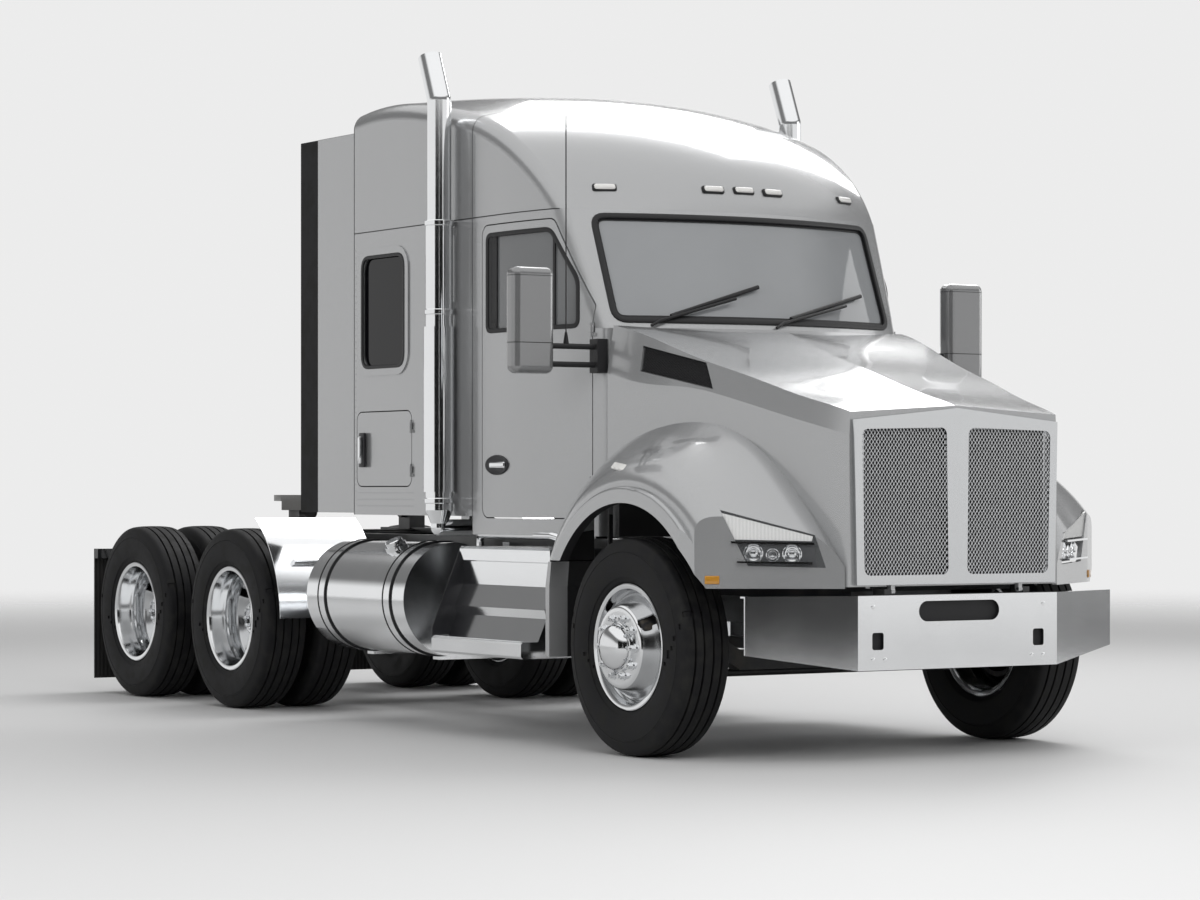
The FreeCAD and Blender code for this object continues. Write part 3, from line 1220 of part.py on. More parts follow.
def make_stacks():
    x, y, radius, pipe, joint, bend, tip = numbers(
        s.cab_half + s.stack_out, s.stack_y, s.stack_radius, s.pipe_radius, s.stack_joint,
        s.stack_bend, s.stack_tip)
    shield, low, high, elbow_z, elbow = numbers(s.shield_radius, s.shield_low, s.shield_high,
                                                s.elbow_z, s.elbow_radius)
    rise, gap, inner, foot, foot_depth = numbers(s.stack_neck, s.neck_gap, s.stack_foot_x,
                                                 s.stack_foot, s.stack_foot_depth)
    start = elbow_z + radius + gap
    lower = Part.makeCylinder(radius, joint - start, Vector(x, y, start))
    neck = Part.makeCone(elbow, radius, rise, Vector(x, y, start - rise))
    cover = Part.makeCylinder(shield, high - low, Vector(x, y, low))
    upper = Part.makeCylinder(pipe, bend - joint, Vector(x, y, joint))
    reach = tip - bend
    slant = Part.makeCylinder(pipe, reach, Vector(x, y, bend), Vector(0, STACK_LEAN, 1))
    knee = Part.makeSphere(pipe, Vector(x, y, bend))
    turn = Part.makeSphere(elbow, Vector(x, y, elbow_z))
    drop = Part.makeCylinder(elbow, start - rise - elbow_z, Vector(x, y, elbow_z))
    run = Part.makeCylinder(elbow, x - inner, Vector(inner, y, elbow_z), Vector(1, 0, 0))
    whole = lower.fuse([neck, cover, upper, slant, knee, turn, drop, run])
    side, low_end, stay, tall = numbers(s.cab_half, s.rail_top, s.stay_width, s.stay_height)
    for z in STAYS:
        whole = whole.fuse(Part.makeBox(x - side, stay, tall, Vector(side, y - stay / 2, z)))
    whole = whole.fuse(Part.makeBox(foot, foot_depth, elbow_z - elbow / 2 - low_end,
                                    Vector(inner - 10, y - foot_depth / 2, low_end)))
    both("exhaust_stacks", feature("stack", whole.removeSplitter()))


def make_quarter_fenders():
    radius, wall, inner, outer, reach, axle = numbers(
        s.quarter_radius, s.quarter_wall, s.quarter_inner, s.quarter_outer, s.quarter_reach,
        s.tyre_radius)
    y = float(drive_axles_y[0])
    width = outer - inner
    ring = Part.makeCylinder(radius + wall, width, Vector(inner, y, axle), Vector(1, 0, 0))
    ring = ring.cut(Part.makeCylinder(radius, width, Vector(inner, y, axle), Vector(1, 0, 0)))
    far = radius * 2
    corner = math.radians(reach)
    foot, gap, thick, short = numbers(s.quarter_foot, s.quarter_bar_gap, s.quarter_bar,
                                      s.quarter_bar_in)
    wedge = prism_x([(y, axle + foot), (y - far, axle + foot), (y - far, axle + far),
                     (y - far * math.cos(corner), axle + far * math.sin(corner))],
                    inner - 1, outer + 1)
    arc = ring.common(wedge)
    middle = math.radians(reach / 2)
    bar_y = y - (radius + wall + gap) * math.cos(middle)
    bar_z = axle + (radius + wall + gap) * math.sin(middle)
    bar = Part.makeCylinder(thick, outer - short - float(s.rail_half),
                            Vector(float(s.rail_half), bar_y, bar_z), Vector(1, 0, 0))
    both("quarter_fenders", feature("quarter_fender", arc.fuse(bar).removeSplitter()))


def make_flaps():
    end = s.wheelbase + s.rear_overhang
    flap = block("flap", (s.flap_inner, s.flap_outer), (end - s.flap_wall, end),
                 (s.flap_low, s.flap_high))
    both("mud_flaps", flap)


def make_mirrors():
    inner, width, low, high, front, rear, turn, arm = numbers(
        s.cab_half + s.mirror_gap, s.mirror_width, s.mirror_low, s.mirror_high,
        s.mirror_front, s.mirror_rear, s.mirror_round, s.mirror_arm)
    head = Part.makeBox(width, rear - front, high - low, Vector(inner, front, low))
    head = head.makeFillet(turn, head.Edges)
    arm_y, y, z, deep, tall = numbers(s.mirror_arm_y, s.bracket_y, s.bracket_z,
                                      s.bracket_depth, s.bracket_height)
    start = half_width(650) - 12
    bracket = Part.makeBox(60, deep, tall, Vector(start, y, z))
    bracket = bracket.cut(cab_form(0, 1000, 2300, 3000))
    whole = head.fuse(bracket)
    for height in numbers(s.mirror_arm_low, s.mirror_arm_high):
        bar = Part.makeCylinder(arm, inner - start, Vector(start + 30, arm_y, height),
                                Vector(1, 0, 0))
        whole = whole.fuse(bar)
    both("mirrors", feature("mirror", whole.removeSplitter()))


# Fifth wheel: a rocking plate on two trunnions, and the base on the frame.

def make_fifth_wheel():
    y0 = s.wheelbase
    low = s.plate_top - s.plate_wall
    body = plate("coupler_outline", "XY_Plane", [
        (-s.plate_half + 120, y0 - s.plate_front), (s.plate_half - 120, y0 - s.plate_front),
        (s.plate_half, y0 - s.plate_front + 150), (s.plate_half, y0 + 120),
        (s.plate_half - 110, y0 + s.plate_rear), (s.plate_half - 250, y0 + s.plate_rear),
        (s.kingpin_bore + 30, y0 + 90), (-s.kingpin_bore - 30, y0 + 90),
        (-s.plate_half + 250, y0 + s.plate_rear), (-s.plate_half + 110, y0 + s.plate_rear),
        (-s.plate_half, y0 + 120), (-s.plate_half, y0 - s.plate_front + 150),
    ], low, s.plate_top)
    bore = rod("coupler_bore", "z", s.kingpin_bore, (0, y0, low - 10), s.plate_wall + 20)
    lug_x = (s.lug_x, s.lug_x + s.lug_wall)
    eye = rod("coupler_eye", "x", s.trunnion_eye, (s.lug_x, y0, s.trunnion_z), s.lug_wall)
    web = block("coupler_web", lug_x, (y0 - s.trunnion_eye, y0 + s.trunnion_eye),
                (s.trunnion_z, low + 5))
    hole = rod("coupler_hole", "x", s.trunnion_radius, (s.lug_x - 5, y0, s.trunnion_z),
               s.lug_wall + 10)
    skirt = block("coupler_skirt", (s.plate_half - s.skirt_wall, s.plate_half),
                  (y0 - s.plate_front + 160, y0 + 110), (s.skirt_low, low + 5))
    side = [eye, web, skirt]
    solid = fuse("coupler_solid", [body] + side + [mirror(thing.Name + "_other", thing)
                                                   for thing in side])
    holes = fuse("coupler_holes", [bore, hole, mirror("coupler_hole_other", hole)])
    node("fifth_wheel_plate", [cut("coupler", solid, holes)])
    gap = s.saddle_gap
    post_x = (s.lug_x + s.lug_wall + gap, s.plate_half - s.skirt_wall - s.swing_gap)
    post = block("saddle_post", post_x, (y0 - s.saddle_half, y0 + s.saddle_half),
                 (s.rail_top, s.trunnion_z + s.saddle_rise))
    pin = rod("saddle_pin", "x", s.trunnion_radius - s.trunnion_gap,
              (s.lug_x, y0, s.trunnion_z), s.lug_wall + gap + 20)
    foot = block("saddle_foot", (s.rail_half - s.rail_flange, s.rail_half + 60),
                 (y0 - s.saddle_foot, y0 + s.saddle_foot),
                 (s.rail_top, s.rail_top + s.saddle_foot_wall))
    base = block("saddle_base", (-s.rail_half, s.rail_half),
                 (y0 - s.saddle_base, y0 + s.saddle_base),
                 (s.rail_top, s.rail_top + s.saddle_base_wall))
    side = [post, pin, foot]
    others = [mirror(thing.Name + "_other", thing) for thing in side]
    node("fifth_wheel_base", [fuse("saddle", side + others + [base])])


# Inside: seats, bunk, dashboard and steering wheel.

def make_inside():
    floor = s.cab_floor + s.cab_wall
    x, half, y, deep = s.seat_x, s.seat_half, s.seat_front, s.seat_depth
    wide = (x - half, x + half)
    foot = block("seat_foot", (x - 150, x + 150), (y + 90, y + deep - 60), (floor, s.seat_top - 130))
    pad = block("seat_pad", wide, (y, y + deep), (s.seat_top - 130, s.seat_top))
    back = block("seat_back", wide, (y + deep - 20, y + deep + 110),
                 (s.seat_top - 60, s.seat_back))
    seat = fuse("seat", [foot, pad, back])
    low = s.sleeper_low + s.cab_wall
    wall = s.cab_wall
    half = s.cab_half - wall - s.bunk_gap
    bunk = block("bunk_pad", (-half, half), (s.bunk_front, s.sleeper_rear - wall),
                 (s.bunk_low, s.bunk_top))
    leg = block("bunk_leg", (-half, half), (s.bunk_front, s.bunk_front + 40),
                (low, s.bunk_low))
    node("seats", [seat, mirror("seat_other", seat)])
    node("bunk", [fuse("bunk_all", [bunk, leg])])
    form = cab_form(float(s.cab_wall) + 1, float(floor), float(s.belt) - 60, 2000)
    desk = prism_x([(0, 1480), (860, 1560), (880, 1900), (780, 1990), (0, 2010)],
                   -float(s.dash_half), float(s.dash_half))
    desk = desk.common(form)
    desk = desk.cut(Part.makeBox(2400, 420, 1200, Vector(-1200, 0, 1000)))
    hub = Vector(float(s.seat_x), 930, 1960)
    tilt = Vector(0, 0.78, 0.62)
    ring = Part.makeTorus(float(s.wheel_ring), float(s.ring_radius), hub, tilt)
    spokes = []
    for angle in (0, 120, 240):
        turn = Rotation(tilt, angle)
        way = turn.multVec(Vector(1, 0, 0))
        spokes.append(Part.makeCylinder(12, float(s.wheel_ring), hub, way))
    post = Part.makeCylinder(28, 260, hub + tilt.normalize() * 12, tilt.negative())
    cap = Part.makeCylinder(60, 30, hub - tilt.normalize() * 15, tilt)
    whole = desk.fuse([ring, post, cap] + spokes).removeSplitter()
    node("dashboard", [feature("dash", whole)])


def check_and_export():
    """Stops on any failed object, then writes each node to its own file."""
    for thing in doc.Objects:
        for word in ("Invalid", "Error"):
            if word in thing.State:
                raise RuntimeError("%s is %s" % (thing.Name, word))
    os.makedirs("parts", exist_ok=True)
    for group in nodes:
        shape = group.Shape
        if shape.isNull() or not shape.isValid() or not shape.Solids:
            raise RuntimeError("%s has no valid solid" % group.Label)
        shape.exportStep(os.path.join("parts", group.Label + ".step"))
        print("%-26s solids %d  litres %.1f" % (group.Label, len(shape.Solids),
                                                shape.Volume / 1e6))


make_frame()
make_front_axle()
bore_kingpins()
make_knuckles()
make_tie_rod()
make_steer_wheels()
make_drive_wheels()
make_drive_axles()
make_suspension()
make_engine()
make_cab()
make_sleeper()
make_roof()
make_extenders()
make_hood()
make_grille()
make_bumper()
make_steps()
make_tanks()
make_stacks()
make_quarter_fenders()
make_flaps()
make_mirrors()
make_fifth_wheel()
make_inside()
doc.recompute()
check_and_export()
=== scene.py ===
import bmesh
import bpy
import math
from mathutils import Matrix, Vector


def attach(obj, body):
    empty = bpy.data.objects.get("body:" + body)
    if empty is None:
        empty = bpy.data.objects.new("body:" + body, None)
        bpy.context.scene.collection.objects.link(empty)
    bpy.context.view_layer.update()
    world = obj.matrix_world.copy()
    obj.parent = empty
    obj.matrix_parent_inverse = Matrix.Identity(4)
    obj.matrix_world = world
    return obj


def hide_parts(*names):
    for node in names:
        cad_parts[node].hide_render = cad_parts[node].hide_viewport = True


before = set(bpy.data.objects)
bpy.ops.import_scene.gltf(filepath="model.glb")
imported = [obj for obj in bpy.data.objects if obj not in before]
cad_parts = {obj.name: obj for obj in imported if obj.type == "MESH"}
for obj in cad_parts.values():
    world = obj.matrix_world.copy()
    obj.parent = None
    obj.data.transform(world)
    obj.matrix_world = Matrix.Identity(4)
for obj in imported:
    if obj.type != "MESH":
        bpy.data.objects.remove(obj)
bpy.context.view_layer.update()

# Camera: level, at chest height, ahead of the truck's right front corner.
# The long lens keeps the uprights parallel, and the small shift puts the horizon in its place.
front_axle = -2.5775
bpy.ops.object.camera_add(location=(-9.97, front_axle - 13.699, 1.282),
                          rotation=(math.radians(90), 0, math.radians(-32.2)))
camera = bpy.context.object
camera.data.lens = 102
camera.data.sensor_width = 36
camera.data.shift_y = 0.0325
camera.data.clip_end = 200
bpy.context.scene.camera = camera


# Studio: a pale floor that fades into the backdrop, a large soft light over the nose, others
# on the photographed side, behind the roof and on the far side, and three dark cards that
# only reflections see.
class Link:
    """An output in a material, on which arithmetic adds Math nodes."""

    def __init__(self, finish, socket):
        self.finish = finish
        self.socket = socket

    def math(self, operation, *others):
        values = {index + 1: other for index, other in enumerate(others)}
        return self.finish.add("Math", {"operation": operation}, {0: self, **values})

    def after(self, operation, first):
        return self.finish.add("Math", {"operation": operation}, {0: first, 1: self})

    def __add__(self, other):
        return self.math("ADD", other)

    def __mul__(self, other):
        return self.math("MULTIPLY", other)

    def __sub__(self, other):
        return self.math("SUBTRACT", other)

    def __truediv__(self, other):
        return self.math("DIVIDE", other)

    def __rsub__(self, other):
        return self.after("SUBTRACT", other)

    def __gt__(self, other):
        return self.math("GREATER_THAN", other)

    def __lt__(self, other):
        return self.math("LESS_THAN", other)

    def __abs__(self):
        return self.math("ABSOLUTE")

    __radd__ = __add__
    __rmul__ = __mul__

    def most(self, other):
        return self.math("MAXIMUM", other)

    def least(self, other):
        return self.math("MINIMUM", other)

    def step(self, low, high):
        """Rises from 0 to 1 between two values."""
        return self.finish.add("MapRange", {"interpolation_type": "SMOOTHSTEP"},
                               {0: self, 1: low, 2: high})


class Finish:
    """A material or world whose nodes are added one by one."""

    def __init__(self, owner):
        owner.use_nodes = True
        self.owner = owner
        self.tree = owner.node_tree

    def put(self, socket, value):
        if isinstance(value, Link):
            self.tree.links.new(value.socket, socket)
        else:
            socket.default_value = value

    def add(self, kind, settings=(), sockets=(), out=0):
        made = self.tree.nodes.new("ShaderNode" + kind)
        for word, value in dict(settings).items():
            if word == "stops":
                ramp = made.color_ramp.elements
                while len(ramp) < len(value):
                    ramp.new(1)
                for element, (position, shade) in zip(ramp, value):
                    element.position = position
                    element.color = (shade, shade, shade, 1)
            else:
                setattr(made, word, value)
        for socket, value in dict(sockets).items():
            self.put(made.inputs[socket], value)
        return Link(self, made.outputs[out])

    def axes(self, vector):
        """The three numbers of a vector."""
        split = self.add("SeparateXYZ", (), {0: vector})
        return [Link(self, output) for output in split.socket.node.outputs]

    def place(self):
        return self.add("TexCoord", out=3)

    def noise(self, scale, detail=3, stretch=(1, 1, 1)):
        place = self.add("Mapping", (), {0: self.place(), 3: stretch})
        return self.add("TexNoise", (), {"Vector": place, "Scale": scale, "Detail": detail})

    def wave(self, axis, scale, distortion=0.0):
        return self.add("TexWave", {"bands_direction": axis},
                        {0: self.place(), 1: scale, 2: distortion})

    def cells(self, scale):
        return self.add("TexVoronoi", (), {"Vector": self.place(), "Scale": scale})

    def colour(self, share, first, second):
        """A colour between two, by a share from 0 to 1."""
        pair = [(*shade, 1) if isinstance(shade, tuple) else shade for shade in (first, second)]
        return self.add("Mix", {"data_type": "RGBA"}, {0: share, 6: pair[0], 7: pair[1]}, out=2)


def finish(name, colour, metallic=0.0, roughness=0.5, coat=0.0, alpha=1.0, specular=0.5,
           pattern=(), rise=(), grain=()):
    """A material with its values on the shader.

    pattern names a texture of Finish with its values, and rise the part of it that counts. A pair
    of colours or of roughnesses runs with it from first to second. grain is a relief's depth and
    strength, after a noise's scale and detail where the relief isn't the pattern's own.
    """
    made = Finish(bpy.data.materials.new(name))
    made.shader = made.tree.nodes["Principled BSDF"]
    if pattern:
        share = getattr(made, pattern[0])(*pattern[1:])
        share = share.step(*rise) if rise else share
    if isinstance(colour[0], tuple):
        colour = made.colour(share, *colour)
    else:
        colour = (*colour, 1)
    if isinstance(roughness, tuple):
        roughness = share * (roughness[1] - roughness[0]) + roughness[0]
    for socket, value in (("Base Color", colour), ("Metallic", metallic), ("Alpha", alpha),
                          ("Roughness", roughness), ("Coat Weight", coat),
                          ("Specular IOR Level", specular)):
        made.put(made.shader.inputs[socket], value)
    if grain:
        relief(made, share if len(grain) == 2 else made.noise(*grain[:2]), *grain[-2:])
    return made


def feed(made, **sockets):
    """Gives sockets of the shader values that change over the surface."""
    for word, value in sockets.items():
        made.put(made.shader.inputs[word.replace("_", " ")], value)


def relief(made, height, depth, strength=1.0):
    """A fine relief in the surface: height from 0 to 1, depth in metres."""
    bump = made.add("Bump", (), {"Height": height, "Distance": depth, "Strength": strength})
    feed(made, Normal=bump)


world = Finish(bpy.data.worlds.new("studio"))
bpy.context.scene.world = world.owner
rise = world.axes(world.add("TexCoord", out=0))[2] * 0.5 + 0.5
seen = world.add("LightPath", out=0).most(world.add("LightPath", out=3)).most(
    world.add("LightPath", out=4))
sky = world.add("ValToRGB", {"stops": ((0.0, 0.84), (0.58, 0.84), (0.63, 0.18), (0.735, 0.2),
                                       (0.775, 1.0), (1.0, 1.0))}, {0: rise})
dome = world.add("ValToRGB", {"stops": ((0.49, 0.07), (1.0, 0.76))}, {0: rise})
world.put(world.tree.nodes["Background"].inputs["Color"], world.colour(seen, dome, sky))
world.put(world.tree.nodes["Background"].inputs["Strength"], 1.0)

bpy.ops.object.select_all(action="DESELECT")
bpy.ops.mesh.primitive_circle_add(vertices=96, radius=40, fill_type="NGON", location=(0, 0, 0))
floor = bpy.context.object
floor.name = "studio_floor"
ground = finish("studio_floor", (0.62, 0.62, 0.62), roughness=0.6)
across, along, _ = ground.axes(ground.place())
far = (across * across + along * along).math("SQRT").step(9, 26)
ground.put(ground.tree.nodes["Material Output"].inputs["Surface"], ground.add(
    "MixShader", (), {0: far, 1: Link(ground, ground.shader.outputs[0]),
                      2: ground.add("BsdfTransparent")}))
floor.data.materials.append(ground.owner)

for word, place, aim, size, power in (
        ("nose_light", (-2.5, -11.0, 7.5), (0, front_axle, 1.4), 7.0, 520),
        ("side_light", (-12.0, -6.5, 4.5), (-1, -1.5, 1.6), 6.0, 430),
        ("roof_light", (5.0, 3.6, 8.8), (0, -1.5, 2.2), 6.5, 520),
        ("far_light", (11.0, -6.0, 5.0), (1, 0, 1.6), 6.0, 200)):
    bpy.ops.object.light_add(type="AREA", location=place)
    lamp = bpy.context.object
    lamp.name = word
    lamp.data.size = size
    lamp.data.energy = power
    lamp.visible_glossy = word not in ("nose_light", "side_light")
    lamp.rotation_euler = (Vector(aim) - Vector(place)).to_track_quat("-Z", "Y").to_euler()
bpy.context.scene.view_settings.view_transform = "Standard"
black_card = finish("studio_card", (0, 0, 0), roughness=1.0)
grey_card = finish("studio_grey_card", (0, 0, 0), alpha=0.7)
card_reach = 10.0
for word, turn, width, height, shade in (("near_card", 20, 5.6, 4.4, black_card),
                                         ("corner_card", 54, 6.0, 4.4, black_card),
                                         ("far_card", -76, 4.5, 2.2, grey_card)):
    angle = math.radians(turn)
    bpy.ops.mesh.primitive_plane_add(
        size=1, rotation=(math.radians(90), 0, -angle),
        location=(-math.sin(angle) * card_reach,
                  front_axle * 0.4 - math.cos(angle) * card_reach, height / 2))
    card = bpy.context.object
    card.name = word
    card.scale = (width, height, 1)
    for ray in ("camera", "diffuse", "transmission", "shadow"):
        setattr(card, "visible_" + ray, False)
    card.data.materials.append(shade.owner)


# Frame and running gear: the fifth wheel's base in a hard black paint with a film of road
# dust, and forged and cast axles, springs and steering in a rougher satin grey-black.
def wear(material, *nodes):
    """Gives CAD nodes their material."""
    for node in nodes:
        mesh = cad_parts[node].data
        mesh.materials.clear()
        mesh.materials.append(material.owner)


chassis = "chassis_and_cab"
black_paint = finish("frame_paint", ((0.012, 0.013, 0.015), (0.045, 0.043, 0.04)), coat=0.25,
                     roughness=(0.36, 0.61), pattern=("noise", 5.0, 4), rise=(0.45, 0.75),
                     grain=(260, 2, 0.0004, 0.5))
wear(black_paint, "fifth_wheel_base")
axle_paint = finish("axle_paint", ((0.016, 0.017, 0.018), (0.06, 0.056, 0.05)),
                    roughness=(0.48, 0.73), pattern=("noise", 9.0, 5), rise=(0.42, 0.7),
                    grain=(120, 4, 0.0012, 0.6))
wear(axle_paint, "front_axle", "suspension", "drive_axles", "steering_knuckle_left",
     "steering_knuckle_right", "tie_rod")

# Engine, gearbox and radiator: cast housings in grey enamel and a finned aluminium core.
wear(finish("engine_paint", ((0.17, 0.175, 0.18), (0.05, 0.045, 0.04)), coat=0.2,
            pattern=("noise", 6.0, 5), rise=(0.5, 0.8), grain=(90, 3, 0.001, 0.6)),
     "engine_block")
wear(finish("core", ((0.02, 0.02, 0.022), (0.12, 0.125, 0.13)), metallic=0.6, roughness=0.45,
            pattern=("wave", "Z", 160, 0.3), grain=(0.002, 1.0)), "radiator")


# Cab, sleeper, roof and hood skins: aluminium and moulded panels in a light silver-grey
# metallic enamel under clear lacquer. Fine flakes glitter and the lacquer has a slight peel.
def lacquered(name, nodes, bare=None, tones=((0.365, 0.37, 0.375), (0.43, 0.435, 0.44))):
    """Silver enamel for some nodes; where bare gives 1 it is black, for black plastic, gaps and
    painted shade.
    """
    paint = finish(name, tones[0], metallic=0.55, coat=1.0, grain=(30, 1, 0.0002, 0.08))
    paint.put(paint.shader.inputs["Coat Roughness"], 0.04)
    flake = paint.noise(2600, 1).step(0.35, 0.65)
    shade = paint.colour(flake * 0.7 + paint.noise(0.9, 2) * 0.3, *tones)
    rough = flake * 0.08 + 0.22
    if bare:
        gap = bare(*paint.axes(paint.place()))
        # Black where the mask gives 1: seams, black parts and, in the hood's intakes, painted
        # shade.
        shade = paint.colour(gap, shade, (0.012, 0.012, 0.013))
        rough = rough + gap * 0.25
        feed(paint, Metallic=(1 - gap) * 0.55, Coat_Weight=1 - gap)
    feed(paint, Base_Color=shade, Roughness=rough)
    wear(paint, *nodes)
    return paint


def row_y(y):
    """Turns a distance behind the front axle into the model's own Y."""
    return y + front_axle


def line_at(value, place, half):
    """1 in a thin line at a place along one coordinate, 0 beside it."""
    return abs(value - place) < half


def cab_gaps(x, y, z):
    """1 on the roof's seams, the joint at the sleeper's rear and the black front of the cab."""
    over_screen = line_at(z, 2.7, 0.003).least(y > row_y(0.95))
    roof = over_screen.most(line_at(y, row_y(1.72), 0.003)).least(abs(x) > 0.3)
    rear = line_at(y, row_y(3.03), 0.004).least(abs(x) > 1.047)
    front = (y < row_y(0.56)).most((y < row_y(0.69)).least(abs(x) < 0.86)).least(z < 2.05)
    return roof.most(rear).most(front)


def mirror_gaps(x, y, z):
    """1 on the mirrors' arms and the seams of their heads."""
    return (abs(x) < 1.221).most(line_at(z, 2.332, 0.0015)).most(line_at(z, 2.002, 0.002))


silver = lacquered("body_paint", ("side_extenders", "door_left", "door_right",
                                  "luggage_door_left", "luggage_door_right"))
lacquered("cab_paint", ("cab_shell", "sleeper_shell", "roof_cap"), cab_gaps)
lacquered("mirror_paint", ("mirrors",), mirror_gaps,
          ((0.21, 0.212, 0.215), (0.25, 0.252, 0.255)))

# Bright metal: polished aluminium and stainless sheet with faint brushing and handling marks.
# The sleeper's windows are black glass and the dashboard is grained plastic.
polished = finish("polished", ((0.84, 0.85, 0.86), (0.91, 0.92, 0.93)), metallic=1.0,
                  pattern=("noise", 3.0, 3))
brush = polished.noise(40, 3, (1, 30, 30))
feed(polished, Roughness=brush * 0.08 + polished.noise(3.0, 3) * 0.06 + 0.05)
relief(polished, brush, 0.0001, 0.25)
wear(polished, "front_bumper", "steps", "fuel_tanks", "exhaust_stacks", "quarter_fenders")
wear(finish("dark_glass", (0.004, 0.004, 0.005), roughness=(0.02, 0.06), specular=0.25,
            pattern=("noise", 3, 2)), "sleeper_windows")
wear(finish("trim", (0.1, 0.105, 0.11), roughness=0.6, grain=(400, 2, 0.0006, 0.6)),
     "dashboard")


# Tyres: one radial road tyre, spun once and copied to all ten places. Its tread has four
# grooves, its shoulders are notched, and its sidewalls carry the raised rings of the mould.
def leave_edit_mode(piece=None):
    """Goes back to object mode with nothing, or only this piece, selected."""
    if bpy.context.mode != "OBJECT":
        bpy.ops.object.mode_set(mode="OBJECT")
    bpy.ops.object.select_all(action="DESELECT")
    if piece:
        piece.select_set(True)
        bpy.context.view_layer.objects.active = piece


def fresh(name, kind="plane", **settings):
    """A new primitive, alone in the selection and in edit mode."""
    leave_edit_mode()
    getattr(bpy.ops.mesh, "primitive_%s_add" % kind)(**settings)
    piece = bpy.context.object
    piece.name = piece.data.name = name
    bpy.ops.object.mode_set(mode="EDIT")
    bpy.ops.mesh.select_mode(type="VERT")
    bpy.ops.mesh.select_all(action="SELECT")
    return piece


def draw_line(name, points):
    """A new object in edit mode whose only mesh is a line through the points."""
    piece = fresh(name, size=0.001, location=points[0])
    bpy.ops.mesh.merge(type="CENTER")
    for start, end in zip(points, points[1:]):
        step = [b - a for a, b in zip(start, end)]
        bpy.ops.mesh.extrude_region_move(TRANSFORM_OT_translate={"value": step})
    bpy.ops.mesh.select_all(action="SELECT")
    return piece


def carry(mesh, matrix):
    """Moves a mesh by a matrix; a mirrored one is turned right side out."""
    mesh.transform(matrix)
    if matrix.determinant() < 0:
        mesh.flip_normals()


def moved(piece, matrix=None):
    """Leaves edit mode, keeps the piece's place in its mesh and moves the mesh by a matrix."""
    leave_edit_mode(piece)
    bpy.ops.object.transform_apply(location=True, rotation=True, scale=True)
    if matrix:
        carry(piece.data, matrix)
    return piece


def spun(name, profile, steps, closed=False):
    """A profile of (x, radius) pairs, turned about the X axis."""
    points = [(x, 0, radius) for x, radius in profile]
    piece = draw_line(name, points + points[:1] if closed else points)
    bpy.ops.mesh.spin(steps=steps, angle=math.tau, center=(0, 0, 0), axis=(1, 0, 0))
    bpy.ops.mesh.select_all(action="SELECT")
    bpy.ops.mesh.remove_doubles(threshold=0.00001)
    bpy.ops.mesh.normals_make_consistent(inside=False)
    return piece


def pick(piece, test, kind="faces"):
    """Selects the faces or edges whose centre and normal, or run, pass the test."""
    mesh = bmesh.from_edit_mesh(piece.data)
    bpy.ops.mesh.select_all(action="DESELECT")
    bpy.ops.mesh.select_mode(type="FACE" if kind == "faces" else "EDGE")
    for item in getattr(mesh, kind):
        if kind == "faces":
            wanted = test(item.calc_center_median(), item.normal)
        else:
            ends = [corner.co for corner in item.verts]
            wanted = test((ends[0] + ends[1]) / 2, ends[1] - ends[0])
        item.select_set(wanted)
    mesh.select_flush_mode()
    bmesh.update_edit_mesh(piece.data)


def apply(piece, kind, **settings):
    """Adds a modifier and applies it."""
    change = piece.modifiers.new(kind.lower(), kind)
    for word, value in settings.items():
        setattr(change, word, value)
    leave_edit_mode(piece)
    bpy.ops.object.modifier_apply(modifier=change.name)


def belongs(piece, body, slot, replaced=()):
    """Puts a piece on its body, in the place of any CAD nodes it replaces; its slot is not used.
    """
    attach(piece, body)
    if replaced:
        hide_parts(*replaced)
    return piece


def settle(piece, body, material, slot, smooth=35, replaced=()):
    """Gives a finished piece its shading, material and body."""
    moved(piece)
    if smooth:
        bpy.ops.object.shade_smooth_by_angle(angle=math.radians(smooth))
    piece.data.materials.clear()
    piece.data.materials.append(material.owner)
    return belongs(piece, body, slot, replaced)


def copied(piece, name, matrix, body, slot, replaced=()):
    """A copy with its own mesh, moved by a matrix."""
    other = piece.copy()
    other.data = piece.data.copy()
    other.name = other.data.name = name
    bpy.context.collection.objects.link(other)
    carry(other.data, matrix)
    return belongs(other, body, slot, replaced)


def joined(name, parts):
    """Several objects made into one mesh."""
    leave_edit_mode(parts[0])
    for part in parts:
        part.select_set(True)
    bpy.ops.object.join()
    parts[0].name = parts[0].data.name = name
    return parts[0]


axle_height = 0.526
drive_y = {"fore": front_axle + 4.3, "aft": front_axle + 5.62}
steer_x, outer_x, inner_x = 1.07, 1.082, 0.738
sides = {"left": 1, "right": -1}
flip = Matrix.Diagonal((-1, 1, 1, 1))
rubber = finish("tyre", ((0.007, 0.007, 0.008), (0.018, 0.018, 0.017)), roughness=(0.6, 0.78),
                specular=0.25, pattern=("noise", 14, 5), rise=(0.4, 0.75),
                grain=(300, 3, 0.0005, 0.5))
half_tyre = [
    (0.1065, 0.307), (0.115, 0.31), (0.123, 0.32), (0.1262, 0.333), (0.129, 0.336),
    (0.1315, 0.334), (0.134, 0.345), (0.1375, 0.372), (0.1395, 0.405), (0.1395, 0.43),
    (0.138, 0.452), (0.1362, 0.454), (0.1388, 0.4575), (0.137, 0.4615), (0.133, 0.479),
    (0.129, 0.493), (0.1262, 0.5), (0.1215, 0.51), (0.115, 0.5165), (0.104, 0.5205),
    (0.08, 0.5235), (0.078, 0.51), (0.07, 0.51), (0.068, 0.5245), (0.032, 0.5258),
    (0.03, 0.512), (0.022, 0.512), (0.02, 0.526)]
whole_tyre = half_tyre + [(-x, radius) for x, radius in reversed(half_tyre)]
notches = 60
tyre = spun("tyre", whole_tyre, notches * 2, closed=True)


